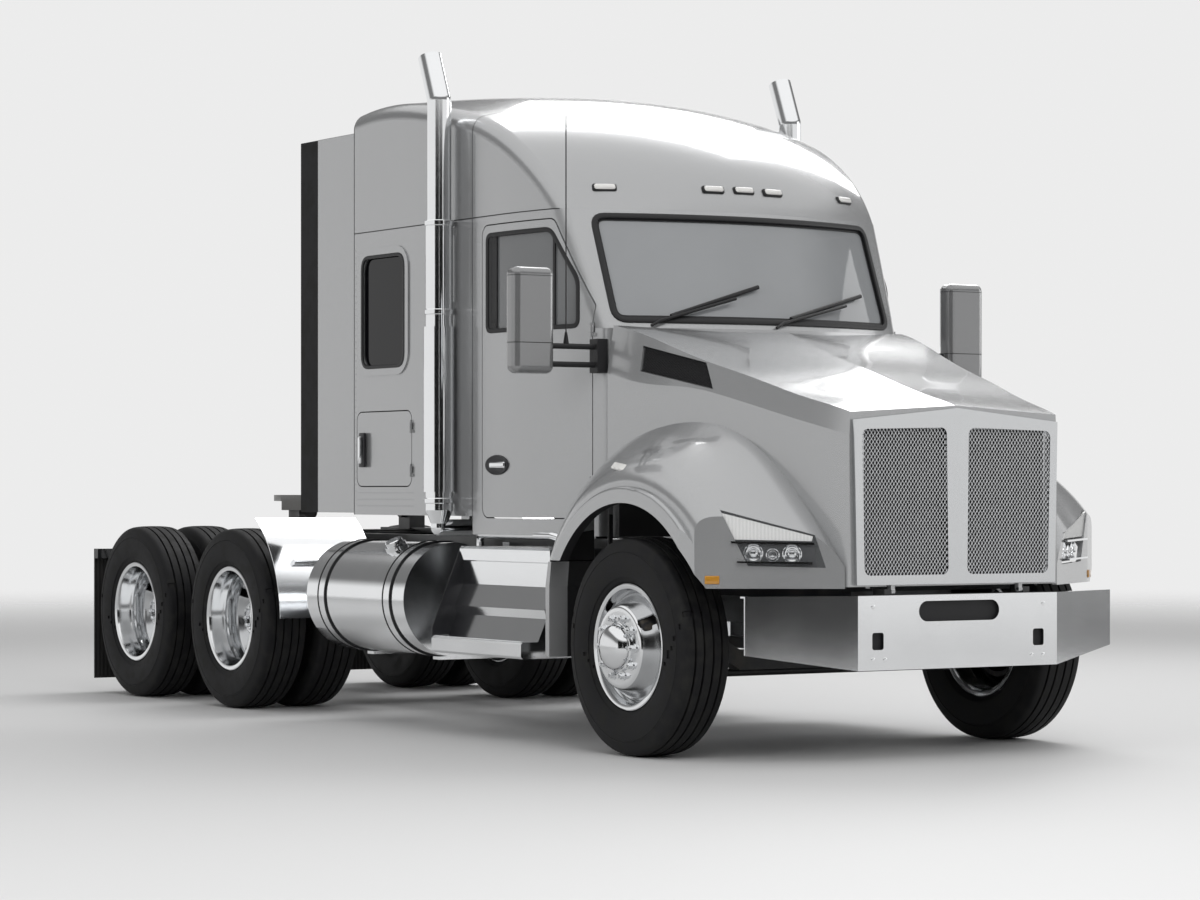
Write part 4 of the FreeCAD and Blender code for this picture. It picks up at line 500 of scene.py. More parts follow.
def notched(centre, normal):
    """Every second face in the band round each shoulder."""
    turn = math.atan2(centre.y, centre.z) / math.tau * notches
    return abs(centre.x) > 0.116 and 0.500 < math.hypot(centre.y, centre.z) < 0.5145 and (
        turn % 1 < 0.5)


pick(tyre, notched)
bpy.ops.mesh.inset(thickness=0.0012, depth=0)
bpy.ops.transform.shrink_fatten(value=-0.007)
settle(tyre, "front_wheel_left", rubber, "tyre", smooth=32)
for side, sign in sides.items():
    tyre_places = [("steer_" + side, steer_x, front_axle, "front_wheel_" + side)]
    for row, y in drive_y.items():
        body = "drive_wheels_%s_%s" % (row, side)
        tyre_places += [("%s_%s_outer" % (row, side), outer_x, y, body),
                        ("%s_%s_inner" % (row, side), inner_x, y, body)]
    for name, x, y, body in tyre_places:
        copied(tyre, "tyre_" + name, Matrix.Translation((sign * x, y, axle_height)), body, "tyre",
               (body.replace("wheel", "tyre"),))
bpy.data.objects.remove(tyre)
wear(rubber, "extender_edges")


# Wheels: forged aluminium discs with five hand holes, polished on a lathe, on ten nuts.
# Each deep rim is a closed ring; the cone between rim and hub face is a surface with thickness.
alloy = finish("alloy", ((0.74, 0.75, 0.76), (0.86, 0.87, 0.88)), metallic=1.0,
               pattern=("noise", 5, 3))
turning = alloy.noise(60, 3, (40, 1, 1))
feed(alloy, Roughness=turning * 0.10 + 0.07)
relief(alloy, turning, 0.0001, 0.2)
satin = finish("alloy_satin", ((0.4, 0.41, 0.42), (0.6, 0.61, 0.62)), metallic=1.0,
               pattern=("noise", 8, 3))
feed(satin, Roughness=satin.noise(60, 3, (40, 1, 1)) * 0.12 + 0.12)
iron = finish("wheel_iron", ((0.03, 0.03, 0.032), (0.1, 0.085, 0.07)), metallic=0.5,
              roughness=(0.5, 0.7), pattern=("noise", 30, 4), rise=(0.45, 0.7),
              grain=(150, 3, 0.0006, 0.6))
barrel = [
    (0.1085, 0.287), (0.1085, 0.3045), (0.112, 0.306), (0.1175, 0.305), (0.12, 0.3),
    (0.1185, 0.289), (0.115, 0.28), (0.104, 0.2755), (0.085, 0.2735), (0.078, 0.27),
    (0.07, 0.26), (0.06, 0.256), (-0.02, 0.256), (-0.03, 0.26),
    (-0.06, 0.268), (-0.1, 0.274), (-0.115, 0.279), (-0.1185, 0.289),
    (-0.12, 0.3), (-0.1175, 0.305), (-0.112, 0.306), (-0.1085, 0.3045),
    (-0.1085, 0.287), (-0.095, 0.284), (-0.05, 0.275), (-0.02, 0.268),
    (0.05, 0.268), (0.07, 0.275), (0.09, 0.284)]
cone = [
    (0.06, 0.264), (0.07, 0.259), (0.082, 0.25), (0.096, 0.239), (0.112, 0.228),
    (0.13, 0.217), (0.148, 0.2075), (0.16, 0.2), (0.1665, 0.193), (0.1685, 0.185),
    (0.1685, 0.17), (0.1685, 0.145), (0.1685, 0.12), (0.1685, 0.113)]
hand_hole_count, columns = 5, 12
hub_face, plate_thickness = 0.1685, 0.016


def hand_hole(centre, normal):
    """The faces of the cone that each hand hole takes away."""
    radius = math.hypot(centre.y, centre.z)
    column = (math.atan2(centre.y, centre.z) / math.tau * hand_hole_count) % 1 * columns
    return 0.2050 < radius < 0.2600 and 2 < column < 9


def pegs(start, end, corners, radius, count, circle, offset=0.0, bevel=0.0):
    """Short bars along X, on a circle about the X axis."""
    made = []
    for index in range(count):
        angle = math.tau * (index + offset) / count
        made.append(fresh("peg", "cylinder", vertices=corners, radius=radius, depth=end - start,
                          location=((start + end) / 2, circle * math.sin(angle),
                                    circle * math.cos(angle)),
                          rotation=(0, math.radians(90), 0)))
        if bevel:
            pick(made[-1], lambda centre, way: abs(way.z) < 0.0001, "edges")
            bpy.ops.mesh.bevel(offset=bevel, segments=1)
        leave_edit_mode(made[-1])
    return made


def nut_ring(face):
    """The nuts of one wheel on a face at this X: a flange, a hexagon and the stud's end."""
    return [part for corners, radius, start, end in (
        (20, 0.0215, 0, 0.005), (6, 0.0175, 0.004, 0.026), (14, 0.0105, 0.02, 0.036))
        for part in pegs(face + start, face + end, corners, radius, 10, 0.1425, 0.5, 0.0012)]


ring = moved(spun("rim", barrel, 96, closed=True))
disc = spun("disc", cone, hand_hole_count * columns)
pick(disc, hand_hole)
bpy.ops.mesh.delete(type="FACE")
apply(disc, "SOLIDIFY", thickness=plate_thickness, offset=-1)
apply(disc, "SUBSURF", levels=1)
wheel = settle(joined("wheel", [ring, disc]), "front_wheel_left", alloy, "alloy", smooth=32)
wheel.data.materials.append(satin.owner)
for face in wheel.data.polygons:
    reach = math.hypot(face.center.y, face.center.z)
    if face.center.x > 0.05 and 0.198 < reach < 0.262:
        face.material_index = 1

dome = [(0.1685, 0.118), (0.176, 0.119), (0.179, 0.116), (0.18, 0.112), (0.195, 0.1095),
        (0.21, 0.102), (0.225, 0.088), (0.235, 0.068), (0.24, 0.042), (0.2425, 0.02),
        (0.243, 0.0)]
drum = [(0.036, 0.0425), (0.036, 0.0725), (0.116, 0.0725), (0.116, 0.181), (-0.004, 0.181),
        (-0.004, 0.205), (0.002, 0.209), (0.026, 0.209), (0.029, 0.205), (0.126, 0.205),
        (0.146, 0.198), (0.146, 0.0425)]
outer_face = plate_thickness - hub_face
deep_cap = [(outer_face, 0.121), (-0.146, 0.12), (-0.12, 0.117), (-0.06, 0.111), (-0.04, 0.108),
            (-0.026, 0.092), (-0.0185, 0.08), (-0.018, 0.0)]
steer_cap = joined("steer_cap", [moved(spun("steer_cap", dome, 64))] + nut_ring(hub_face))
drive_cap = joined("drive_cap", [moved(spun("drive_cap", deep_cap, 56))] + pegs(
    -0.018, -0.006, 6, 0.01, 8, 0.062) + nut_ring(outer_face))
steer_drum = spun("steer_drum", drum, 48, closed=True)
settle(steer_drum, "front_wheel_left", iron, "coupler")
drive_drum = spun("drive_drum", [(x - 0.318, radius) for x, radius in drum], 48, closed=True)
settle(drive_drum, "front_wheel_left", iron, "coupler")
for cap in (steer_cap, drive_cap):
    settle(cap, "front_wheel_left", alloy, "alloy", smooth=40)


def at(sign, x, y):
    """Moves a piece drawn for the left side to a wheel's middle, mirrored on the right."""
    return Matrix.Translation((sign * x, y, axle_height)) @ Matrix.Diagonal((sign, 1, 1, 1))


for side, sign in sides.items():
    middle = at(sign, steer_x, front_axle)
    wheel_places = [(wheel, "steer_wheel_", side, middle, "front_wheel_" + side),
                    (steer_cap, "steer_cap_", side, middle, "front_wheel_" + side),
                    (steer_drum, "steer_drum_", side, middle, "front_wheel_" + side)]
    for row, y in drive_y.items():
        body, tag = "drive_wheels_%s_%s" % (row, side), "%s_%s" % (row, side)
        outer = at(sign, outer_x, y)
        wheel_places += [(wheel, "outer_wheel_", tag, outer @ flip, body),
                         (wheel, "inner_wheel_", tag, at(sign, inner_x, y), body),
                         (drive_cap, "drive_cap_", tag, outer, body),
                         (drive_drum, "drive_drum_", tag, outer, body)]
    for model, word, tag, place, body in wheel_places:
        copied(model, word + tag, place, body, "coupler" if "drum" in word else "alloy", (body,))
for model in (wheel, steer_cap, steer_drum, drive_cap, drive_drum):
    bpy.data.objects.remove(model)


# Grille: two panels of diamond wire mesh held behind a proud frame. The frame is cast and satin
# silver; its faces deeper than its front, the inner edges and the backing behind the mesh, are
# painted black as painted shade.
grille_silver_and_shade = finish("grille_silver_and_shade", (0.7, 0.71, 0.72))
_, depth, _ = grille_silver_and_shade.axes(grille_silver_and_shade.place())
# Painted shade: the grille's faces that lie deeper than a plane just behind the wire mesh turn
# black.
grille_depth_shade = depth.step(row_y(-1.0115), row_y(-1.0105))
feed(grille_silver_and_shade, Metallic=1 - grille_depth_shade, Base_Color=grille_silver_and_shade.colour(
    grille_depth_shade, (0.7, 0.71, 0.72), (0.006, 0.006, 0.007)),
    Roughness=grille_depth_shade * 0.3 + grille_silver_and_shade.noise(300, 2) * 0.06 + 0.22)
relief(grille_silver_and_shade, grille_silver_and_shade.noise(12, 1), 0.0002, 0.1)
wear(grille_silver_and_shade, "grille")
wire_metal = finish("grille_mesh", ((0.62, 0.63, 0.64), (0.84, 0.85, 0.86)), metallic=1.0,
                    roughness=(0.18, 0.33), pattern=("noise", 40, 3))


def diamond_net(name, rows, cell, place, cuts):
    """A net of diamonds, placed by a matrix and cut off at planes that face outwards."""
    net = fresh(name, "grid", x_subdivisions=rows, y_subdivisions=rows, size=rows / math.sqrt(2))
    moved(net, place @ Matrix.Diagonal((*cell, 1, 1)) @ Matrix.Rotation(math.radians(45), 4, "Z"))
    bpy.ops.object.mode_set(mode="EDIT")
    for spot, way in cuts:
        bpy.ops.mesh.select_all(action="SELECT")
        bpy.ops.mesh.bisect(plane_co=spot, plane_no=way, clear_outer=True)
    leave_edit_mode(net)
    return net


mesh_low, mesh_high, mesh_in, mesh_out = 0.868, 1.576, 0.05, 0.572
for side, sign in sides.items():
    panel = diamond_net(
        "grille_mesh_" + side, 54, (0.02, 0.028),
        Matrix.Translation(((mesh_in + mesh_out) / 2 * sign, row_y(-1.026),
                            (mesh_low + mesh_high) / 2)) @
        Matrix.Rotation(math.radians(90), 4, "X"),
        (((0, 0, mesh_low), (0, 0, -1)), ((0, 0, mesh_high), (0, 0, 1)),
         ((mesh_in * sign, 0, 0), (-sign, 0, 0)), ((mesh_out * sign, 0, 0), (sign, 0, 0))))
    apply(panel, "WIREFRAME", thickness=0.0052, use_even_offset=False)
    settle(panel, "hood", wire_metal, "polished", smooth=0)


# Headlamps: a clear moulded lens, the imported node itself, over a black housing with three
# bowls in bright bezels between two chrome fins, and a white strip along the top.
wear(finish("lamp_lens", (0.6, 0.62, 0.64), roughness=(0.02, 0.06), coat=0.3, alpha=0.1,
            pattern=("noise", 6, 2)), "headlamps")
chrome = finish("lamp_chrome", (0.86, 0.87, 0.88), metallic=1.0, roughness=(0.03, 0.11),
                pattern=("noise", 20, 3))
housing = finish("lamp_housing", (0.012, 0.012, 0.014), roughness=(0.2, 0.5),
                 pattern=("noise", 80, 3))
strip_glow = finish("lamp_strip", ((0.5, 0.5, 0.5), (0.92, 0.92, 0.9)), roughness=0.12,
                    coat=0.6, pattern=("wave", "X", 60), grain=(0.002, 0.6))
lamp_along = Vector((0.359, 0.253, 0)).normalized()
lamp_place = Matrix.Translation((0.747, row_y(-0.919), 0)) @ Matrix(
    (lamp_along, (lamp_along.y, -lamp_along.x, 0), (0, 0, 1))).transposed().to_4x4()


def in_both_lamps(piece, name, material):
    """Settles a piece in the left lamp and its mirror image in the right one."""
    settle(piece, "hood", material, "lamp")
    piece.name = piece.data.name = name + "_left"
    copied(piece, name + "_right", flip, "hood", "lamp")


def filled(name, points):
    """A flat face inside an outline, in edit mode."""
    piece = draw_line(name, points + points[:1])
    bpy.ops.mesh.remove_doubles(threshold=0.00001)
    bpy.ops.mesh.edge_face_add()
    return piece


for word, corners, depth, thick, material in (
        ("floor", ((-0.01, 0.922), (0.372, 0.93), (0.436, 1.178), (0.004, 1.066)),
         0.066, 0.006, housing),
        ("strip", ((0.014, 1.04), (0.392, 1.048), (0.43, 1.17), (0.01, 1.063)),
         0.02, 0.01, strip_glow),
        ("fin", ((0.004, 1.024), (0.386, 1.03), (0.39, 1.04), (0.004, 1.034)),
         0.016, 0.03, chrome),
        ("lower_fin", ((0.012, 0.934), (0.36, 0.94), (0.36, 0.948), (0.012, 0.944)),
         0.018, 0.04, chrome)):
    plate = filled("lamp_" + word, [(u, 0, v) for u, v in corners])
    bpy.ops.mesh.extrude_region_move(TRANSFORM_OT_translate={"value": (0, thick, 0)})
    bpy.ops.mesh.select_all(action="SELECT")
    bpy.ops.transform.translate(value=(0, -depth, 0))
    bpy.ops.mesh.normals_make_consistent(inside=False)
    in_both_lamps(moved(plate, lamp_place), "lamp_" + word, material)
for word, u, v, radius in (("outer", 0.285, 0.983, 0.046), ("inner", 0.105, 0.98, 0.046),
                           ("middle", 0.195, 0.975, 0.032)):
    bowl = spun("projector_" + word, [
        (0.0, radius), (0.016, radius), (0.018, radius - 0.004), (0.006, radius - 0.012),
        (0.004, radius - 0.018), (0.01, radius - 0.022), (0.018, radius * 0.3),
        (0.02, 0.0)], 40)
    moved(bowl, lamp_place @ Matrix.Translation((u, -0.05, v)) @
          Matrix.Rotation(math.radians(90), 4, "Z"))
    in_both_lamps(bowl, "projector_" + word, chrome)


# Bumper: one polished plate, its ends swept back, on carriage bolts. The holes show a black sheet
# behind the plate.
def block(name, size, place=(0, 0, 0), bevel=0.002, segments=1):
    """A box in edit mode, whose edges lose this share of each of its sides."""
    piece = fresh(name, "cube", size=1, location=place, scale=size)
    bpy.ops.mesh.bevel(offset=bevel, segments=segments)
    return piece


bumper_sheet = finish("bumper_black_sheet", (0.008, 0.008, 0.009), roughness=(0.5, 0.7),
               pattern=("noise", 200, 2))
settle(block("bumper_black_sheet", (1.14, 0.006, 0.33), (0, row_y(-1.024), 0.625)), chassis, bumper_sheet,
       "trim")
for index, (x, z) in enumerate(((-0.507, 0.49), (-0.507, 0.735), (0.507, 0.49),
                                (0.507, 0.735), (-0.437, 0.489), (0.437, 0.489))):
    head = fresh("bumper_bolt_%d" % index, "uv_sphere", segments=20, ring_count=10, radius=0.011,
                 location=(x, row_y(-1.0445), z), scale=(1, 0.35, 1))
    settle(head, chassis, chrome, "polished", smooth=60)


# Hood: its sides have a screened air intake under the crest, whose floor is black as painted
# shade of the opening, and the faces of the wheel arches that look towards the wheel are black.
# The intakes' screens are the grille's wire in a smaller mesh.
vent_corners = [(0.365, 1.988), (-0.07, 1.893), (-0.14, 1.763), (0.37, 1.862)]
vent_middle = Vector((0.13, 1.875, 0))
vent_edges = []
for start, end in zip(vent_corners, vent_corners[1:] + vent_corners[:1]):
    start, end = Vector((*start, 0)), Vector((*end, 0))
    outward = (end - start).normalized().cross(Vector((0, 0, 1)))
    vent_edges.append((start, outward if outward.dot(vent_middle - start) < 0 else -outward))


def hood_shade_and_arch(x, y, z):
    """1 in the intakes, as painted shade, and on the faces of the wheel arch that look towards
    the wheel.
    """
    depths = [((y - row_y(start.x)) * way.x + (z - start.y) * way.y) * -1
              for start, way in vent_edges]
    # Painted shade: the intake's floor turns black, standing in for the dark opening behind the
    # screen.
    vent = depths[0].least(depths[1]).least(depths[2]).least(depths[3]).step(-0.002, 0.002)
    _, lean_y, lean_z = x.finish.axes(x.finish.add("TexCoord", out=1))
    ahead, above = y - front_axle, z - axle_height
    reach = (ahead * ahead + above * above).math("SQRT")
    towards = (lean_y * ahead + lean_z * above) / reach < -0.5
    return vent.least(abs(x) > 0.55).most((reach < 0.86).least(towards)).most(
        (reach < 0.64).least(abs(x) < 1.18))


lacquered("fender_paint", ("fender_tails",), lambda x, y, z: abs(x) < 1.1)
lacquered("hood_paint", ("hood_shell",), hood_shade_and_arch)
screen_wire = finish("intake_wire", (0.03, 0.03, 0.032), metallic=0.3, roughness=(0.3, 0.5),
                     pattern=("noise", 90, 3))
for side, sign in sides.items():
    screen = diamond_net("intake_screen_" + side, 44, (0.019, 0.013),
                         Matrix.Translation(vent_middle),
                         [(start - way * 0.003, way) for start, way in vent_edges])
    for corner in screen.data.vertices:
        ray = Vector((-sign, 0, 0))
        met, place, _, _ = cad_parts["hood_shell"].ray_cast(
            Vector((sign * 3, row_y(corner.co.x), corner.co.y)), ray)
        corner.co = place - ray * 0.006
    apply(screen, "WIREFRAME", thickness=0.003, use_even_offset=False)
    settle(screen, "hood", screen_wire, "trim", smooth=0)


# Windscreen: one bowed pane set in a wide black rubber, with two wipers parked along its foot
# and five marker lamps on the roof above it.
def rounded_outline(corners, radius, steps=5):
    """A closed outline whose corners are short curves."""
    points = []
    for index, corner in enumerate(corners):
        corner = Vector(corner)
        before = (Vector(corners[index - 1]) - corner).normalized() * radius
        after = (Vector(corners[(index + 1) % len(corners)]) - corner).normalized() * radius
        for step in range(steps + 1):
            share = step / steps
            points.append(corner + before * (1 - share) ** 2 + after * share ** 2)
    return points


def divided(points, longest):
    """The same closed outline with no side longer than this."""
    result = []
    for start, end in zip(points, points[1:] + points[:1]):
        count = max(1, math.ceil((end - start).length / longest))
        result += [start.lerp(end, index / count) for index in range(count)]
    return result


def band(name, outline, width, thickness, surface, soft=0.0):
    """A strip of this width inside an outline, laid on a surface and given a thickness."""
    piece = filled(name, [(u, v, 0) for u, v in divided(outline, 0.05)])
    bpy.ops.mesh.inset(thickness=width)
    bpy.ops.mesh.delete(type="FACE")
    moved(piece)
    for corner in piece.data.vertices:
        corner.co = surface(corner.co.x, corner.co.y)
    apply(piece, "SOLIDIFY", thickness=thickness, offset=0)
    if soft:
        apply(piece, "BEVEL", width=soft, segments=2, limit_method="ANGLE")
    bpy.ops.object.mode_set(mode="EDIT")
    bpy.ops.mesh.select_all(action="SELECT")
    bpy.ops.mesh.normals_make_consistent(inside=False)
    return piece


def tube(name, points, radius, turn=0.0, rounds=2):
    """A round bar along the points; its corners are bent to a radius where one is given."""
    line = draw_line(name, points)
    leave_edit_mode(line)
    if turn:
        apply(line, "BEVEL", affect="VERTICES", width=turn, segments=5)
    bpy.ops.object.convert(target="CURVE")
    bar = bpy.context.object
    bar.data.bevel_depth = radius
    bar.data.bevel_resolution = rounds
    bar.data.use_fill_caps = True
    bpy.ops.object.convert(target="MESH")
    bar = bpy.context.object
    bar.name = bar.data.name = name
    return bar


def on_screen(out):
    """Places a point of the windscreen's view from ahead on its bowed and raked face."""
    def surface(x, z):
        return Vector((x, row_y(0.450 + 0.25 * x * x + (z - 2.085) * 0.40 - out), z))
    return surface


for name, shade, cover, nodes in (
        ("screen_glass", (0.3, 0.31, 0.32), 0.8, ("windshield",)),
        ("door_glass", (0.17, 0.175, 0.18), 0.78, ("door_glass_left", "door_glass_right"))):
    wear(finish(name, (shade, tuple(part * 1.15 for part in shade)), roughness=(0.01, 0.04),
                coat=0.4, alpha=cover, pattern=("noise", 2.5, 3)), *nodes)
seal = finish("rubber_seal", (0.012, 0.012, 0.013), roughness=(0.35, 0.6),
              pattern=("noise", 120, 3), grain=(400, 2, 0.0003, 0.4))
marker_glass = finish("marker_lens", ((0.55, 0.54, 0.52), (0.88, 0.87, 0.85)), roughness=0.08,
                      coat=0.8, pattern=("wave", "X", 90), grain=(0.001, 0.5))
for word, half, low, high, radius, width, thickness, out, soft in (
        ("rubber", 0.862, 2.114, 2.678, 0.075, 0.026, 0.016, 0.002, 0.004),
        ("border", 0.845, 2.13, 2.662, 0.06, 0.022, 0.002, -0.0085, 0.0)):
    edge = rounded_outline([(-half, low), (half, low), (half, high), (-half, high)], radius)
    settle(band("windscreen_" + word, edge, width, thickness, on_screen(out), soft), chassis,
           seal, "rubber")
for word, x0, x1, lean in (("near", -0.7, -0.06, 0.16), ("far", -0.02, 0.66, 0.14)):
    arm_points = [(x0, 2.098), (x0 + 0.05, 2.125), (x1 - 0.16, 2.125 + lean * 0.75)]
    blade_points = [(x0 + 0.12, 2.15), (x1, 2.150 + lean)]
    for part, points, radius, out in (("arm", arm_points, 0.008, 0.036),
                                      ("blade", blade_points, 0.011, 0.016)):
        bar = tube("wiper_%s_%s" % (part, word), [on_screen(out)(x, z) for x, z in points],
                   radius)
        settle(bar, chassis, seal, "trim", smooth=50)
for index, (x, y, z) in enumerate(((-0.75, 0.9, 2.812), (-0.185, 0.752, 2.816),
                                   (0.0, 0.746, 2.818), (0.185, 0.752, 2.816),
                                   (0.75, 0.9, 2.812))):
    stand = Matrix.Translation((x, row_y(y), z)) @ Matrix.Rotation(x * 0.5, 4, "Z") @ (
        Matrix.Rotation(math.radians(-28), 4, "X"))
    for part, size, material in (("base", (0.128, 0.026, 0.044), seal),
                                 ("lens", (0.112, 0.042, 0.032), marker_glass)):
        cap = block("marker_%s_%d" % (part, index), size, bevel=0.012, segments=4)
        settle(moved(cap, stand), chassis, material, "lamp", smooth=40)


# Side windows: the door glass stands in black rubber that is wide at the rear, with a thin
# post between the vent and the main pane. The sleeper window is black glass in a rubber.
def on_flank(sign, out):
    """Places a point of the side view this far outside one side of the cab and sleeper."""
    def surface(y, z):
        half = 1.050 - 0.2454 * (max(0.0, 1.45 - y) / 1.11) ** 2
        return Vector((sign * (half + out), row_y(y), z))
    return surface


door_edge = [(0.794, 2.089), (1.578, 2.089), (1.578, 2.611), (0.994, 2.611), (0.794, 2.336)]
wide_rear = [(1.47, 2.095), (1.572, 2.095), (1.572, 2.605), (1.47, 2.605)]
post = [(0.968, 2.1), (0.984, 2.1), (0.984, 2.56), (0.968, 2.56)]
sleeper_window = [(2.44, 1.942), (2.936, 1.942), (2.936, 2.568), (2.44, 2.568)]
for side, sign in sides.items():
    for word, edge, width, thickness, out, soft, body in (
            ("door_rubber_", rounded_outline(door_edge, 0.05), 0.024, 0.012, -0.002, 0.003,
             "door_" + side),
            ("door_rear_", rounded_outline(wide_rear, 0.004, 2), 0.052, 0.006, -0.004, 0,
             "door_" + side),
            ("door_post_", rounded_outline(post, 0.004, 2), 0.0079, 0.006, -0.004, 0,
             "door_" + side),
            ("sleeper_rubber_", rounded_outline(sleeper_window, 0.082), 0.02, 0.01, 0.006,
             0.003, chassis)):
        settle(band(word + side, edge, width, thickness, on_flank(sign, out), soft), body, seal,
               "rubber")

# Handles: a chrome paddle in a black oval dish on each door, and an upright chrome pull in a
# black pocket on each luggage door.
for side, sign in sides.items():
    dish = spun("door_dish_" + side, [(-0.004, 0.052), (0.004, 0.052), (0.009, 0.049),
                                      (0.008, 0.044), (0.003, 0.03), (0.002, 0.0)], 40)
    paddle = block("door_paddle_" + side, (0.022, 0.15, 0.034), bevel=0.009, segments=4)
    pocket = block("luggage_pocket_" + side, (0.014, 0.062, 0.19), bevel=0.005, segments=3)
    pull = block("luggage_pull_" + side, (0.028, 0.026, 0.15), bevel=0.005, segments=3)
    for piece, x, y, z, stretch, body, material in (
            (dish, 1.05, 1.464, 1.406, 2.2, "door_", housing),
            (paddle, 1.062, 1.44, 1.406, 1, "door_", chrome),
            (pocket, 1.066, 2.905, 1.497, 1, "luggage_door_", housing),
            (pull, 1.076, 2.908, 1.497, 1, "luggage_door_", chrome)):
        moved(piece, Matrix.Translation((sign * x, row_y(y), z)) @
              Matrix.Diagonal((sign, stretch, 1, 1)))
        settle(piece, body + side, material, "trim", smooth=50)

# Mirrors: flat and curved glasses on the rear of each head, and a whip aerial on the lower
# right-hand arm.
mirror_glass = finish("mirror_glass", (0.75, 0.77, 0.78), metallic=1.0,
                      roughness=(0.005, 0.035), pattern=("noise", 5, 2))
for side, sign in sides.items():
    for word, low, high in (("flat", 2.04, 2.35), ("curved", 1.875, 2.005)):
        pane = fresh("mirror_%s_%s" % (word, side), "cube", size=1,
                     location=(sign * 1.3435, row_y(0.7), (low + high) / 2),
                     scale=(0.195, 0.006, high - low))
        pick(pane, lambda centre, way: abs(way.y) > 0.5, "edges")
        bpy.ops.mesh.bevel(offset=0.02, segments=4)
        settle(pane, chassis, mirror_glass, "polished", smooth=40)
upright = Matrix.Rotation(math.radians(-90), 4, "Y")
settle(tube("aerial", [(-1.13, row_y(0.655), 2.000), (-1.13, row_y(0.655), 3.19)], 0.0032),
       chassis, seal, "trim")
foot = spun("aerial_foot", [(-0.02, 0.0), (-0.02, 0.014), (0.0, 0.014), (0.05, 0.006),
                            (0.05, 0.0)], 16)
settle(moved(foot, Matrix.Translation((-1.13, row_y(0.655), 2.01)) @ upright), chassis, seal,
       "trim")

# Side markers and amber reflectors: cushion-edged caps set in the skin of each fender.
amber = finish("amber_reflector", ((0.28, 0.11, 0.008), (0.55, 0.27, 0.03)), roughness=0.15,
               coat=0.8, pattern=("cells", 260), grain=(0.001, 0.5))
for side, sign in sides.items():
    for word, (x, y, z), run, away, size, material in (
            ("side_marker_", (1.158, 0.11, 1.388), (0.1, 1.0, 0.15), (0.75, 0.06, 0.66),
             (0.115, 0.04, 0.018), marker_glass),
            ("amber_", (1.134, -0.642, 0.86), (-0.78, -0.63, 0.0), (0.63, -0.78, 0.0),
             (0.07, 0.04, 0.012), amber)):
        run = Vector((run[0] * sign, *run[1:])).normalized()
        across = Vector((away[0] * sign, *away[1:])).cross(run).normalized()
        turn = Matrix((run, across, run.cross(across))).transposed().to_4x4()
        cap = block(word + side, size, bevel=min(size) * 0.45, segments=3)
        moved(cap, Matrix.Translation((x * sign, row_y(y), z)) @ turn)
        settle(cap, "hood", material, "lamp", smooth=40)


# Steps: polished boxes with a grip strip along each tread, a black gusset at the rear end and
# a round rail above the top tread.
def repeated(piece, count, step):
    """A row of one piece."""
    apply(piece, "ARRAY", count=count, use_relative_offset=False, use_constant_offset=True,
          constant_offset_displace=step)
    return piece


for side, sign in sides.items():
    for word, x, z in (("low", 1.236, 0.5145), ("top", 1.072, 0.9805)):
        tooth = moved(block("tread_grip_%s_%s" % (word, side), (0.02, 0.01, 0.007)))
        moved(repeated(tooth, 48, (0, 0.0185, 0)),
              Matrix.Translation((sign * x, row_y(0.908), z)))
        settle(tooth, chassis, polished, "polished")
    rail = tube("step_rail_" + side, [
        (sign * x, row_y(y), z) for x, y, z in (
            (0.99, 0.93, 0.975), (0.99, 0.93, 1.03), (1.01, 0.97, 1.045),
            (1.01, 1.7, 1.045), (0.99, 1.74, 1.03), (0.99, 1.74, 0.975))],
        0.021, turn=0.02, rounds=4)
    settle(rail, chassis, polished, "polished")
    gusset = filled("step_gusset_" + side, [
        (sign * x, row_y(1.801), z) for x, z in (
            (1.052, 0.955), (1.052, 0.52), (1.246, 0.52), (1.246, 0.56), (1.085, 0.955))])
    apply(gusset, "SOLIDIFY", thickness=0.008, offset=0)
    apply(gusset, "BEVEL", width=0.002, segments=2)
    settle(gusset, chassis, housing, "trim")

# Tanks: spun aluminium shells on two straps, with a rubber strip under each edge of a strap,
# and a filler cap on top near the front.
for side, sign in sides.items():
    for word, y in (("front", 2.317), ("rear", 3.065)):
        for index, start in enumerate((y - 0.007, y + 0.07)):
            hoop = spun("tank_%s_strip_%s_%d" % (word, side, index), [
                (0.0, 0.3045), (0.0, 0.3135), (0.007, 0.3135), (0.007, 0.3045)], 96, closed=True)
            moved(hoop, Matrix.Translation((sign * 0.91, row_y(start), 0.69)) @
                  Matrix.Rotation(math.radians(90), 4, "Z"))
            settle(hoop, chassis, seal, "rubber")
    cap = spun("tank_filler_" + side, [
        (-0.01, 0.0), (-0.01, 0.06), (0.025, 0.06), (0.025, 0.048), (0.045, 0.048),
        (0.05, 0.043), (0.05, 0.0)], 32)
    moved(cap, Matrix.Translation((sign * 1.045, row_y(2.55), 0.9605)) @
          Matrix.Rotation(math.radians(27 * sign), 4, "Y") @ upright)
    settle(cap, chassis, polished, "polished", smooth=30)

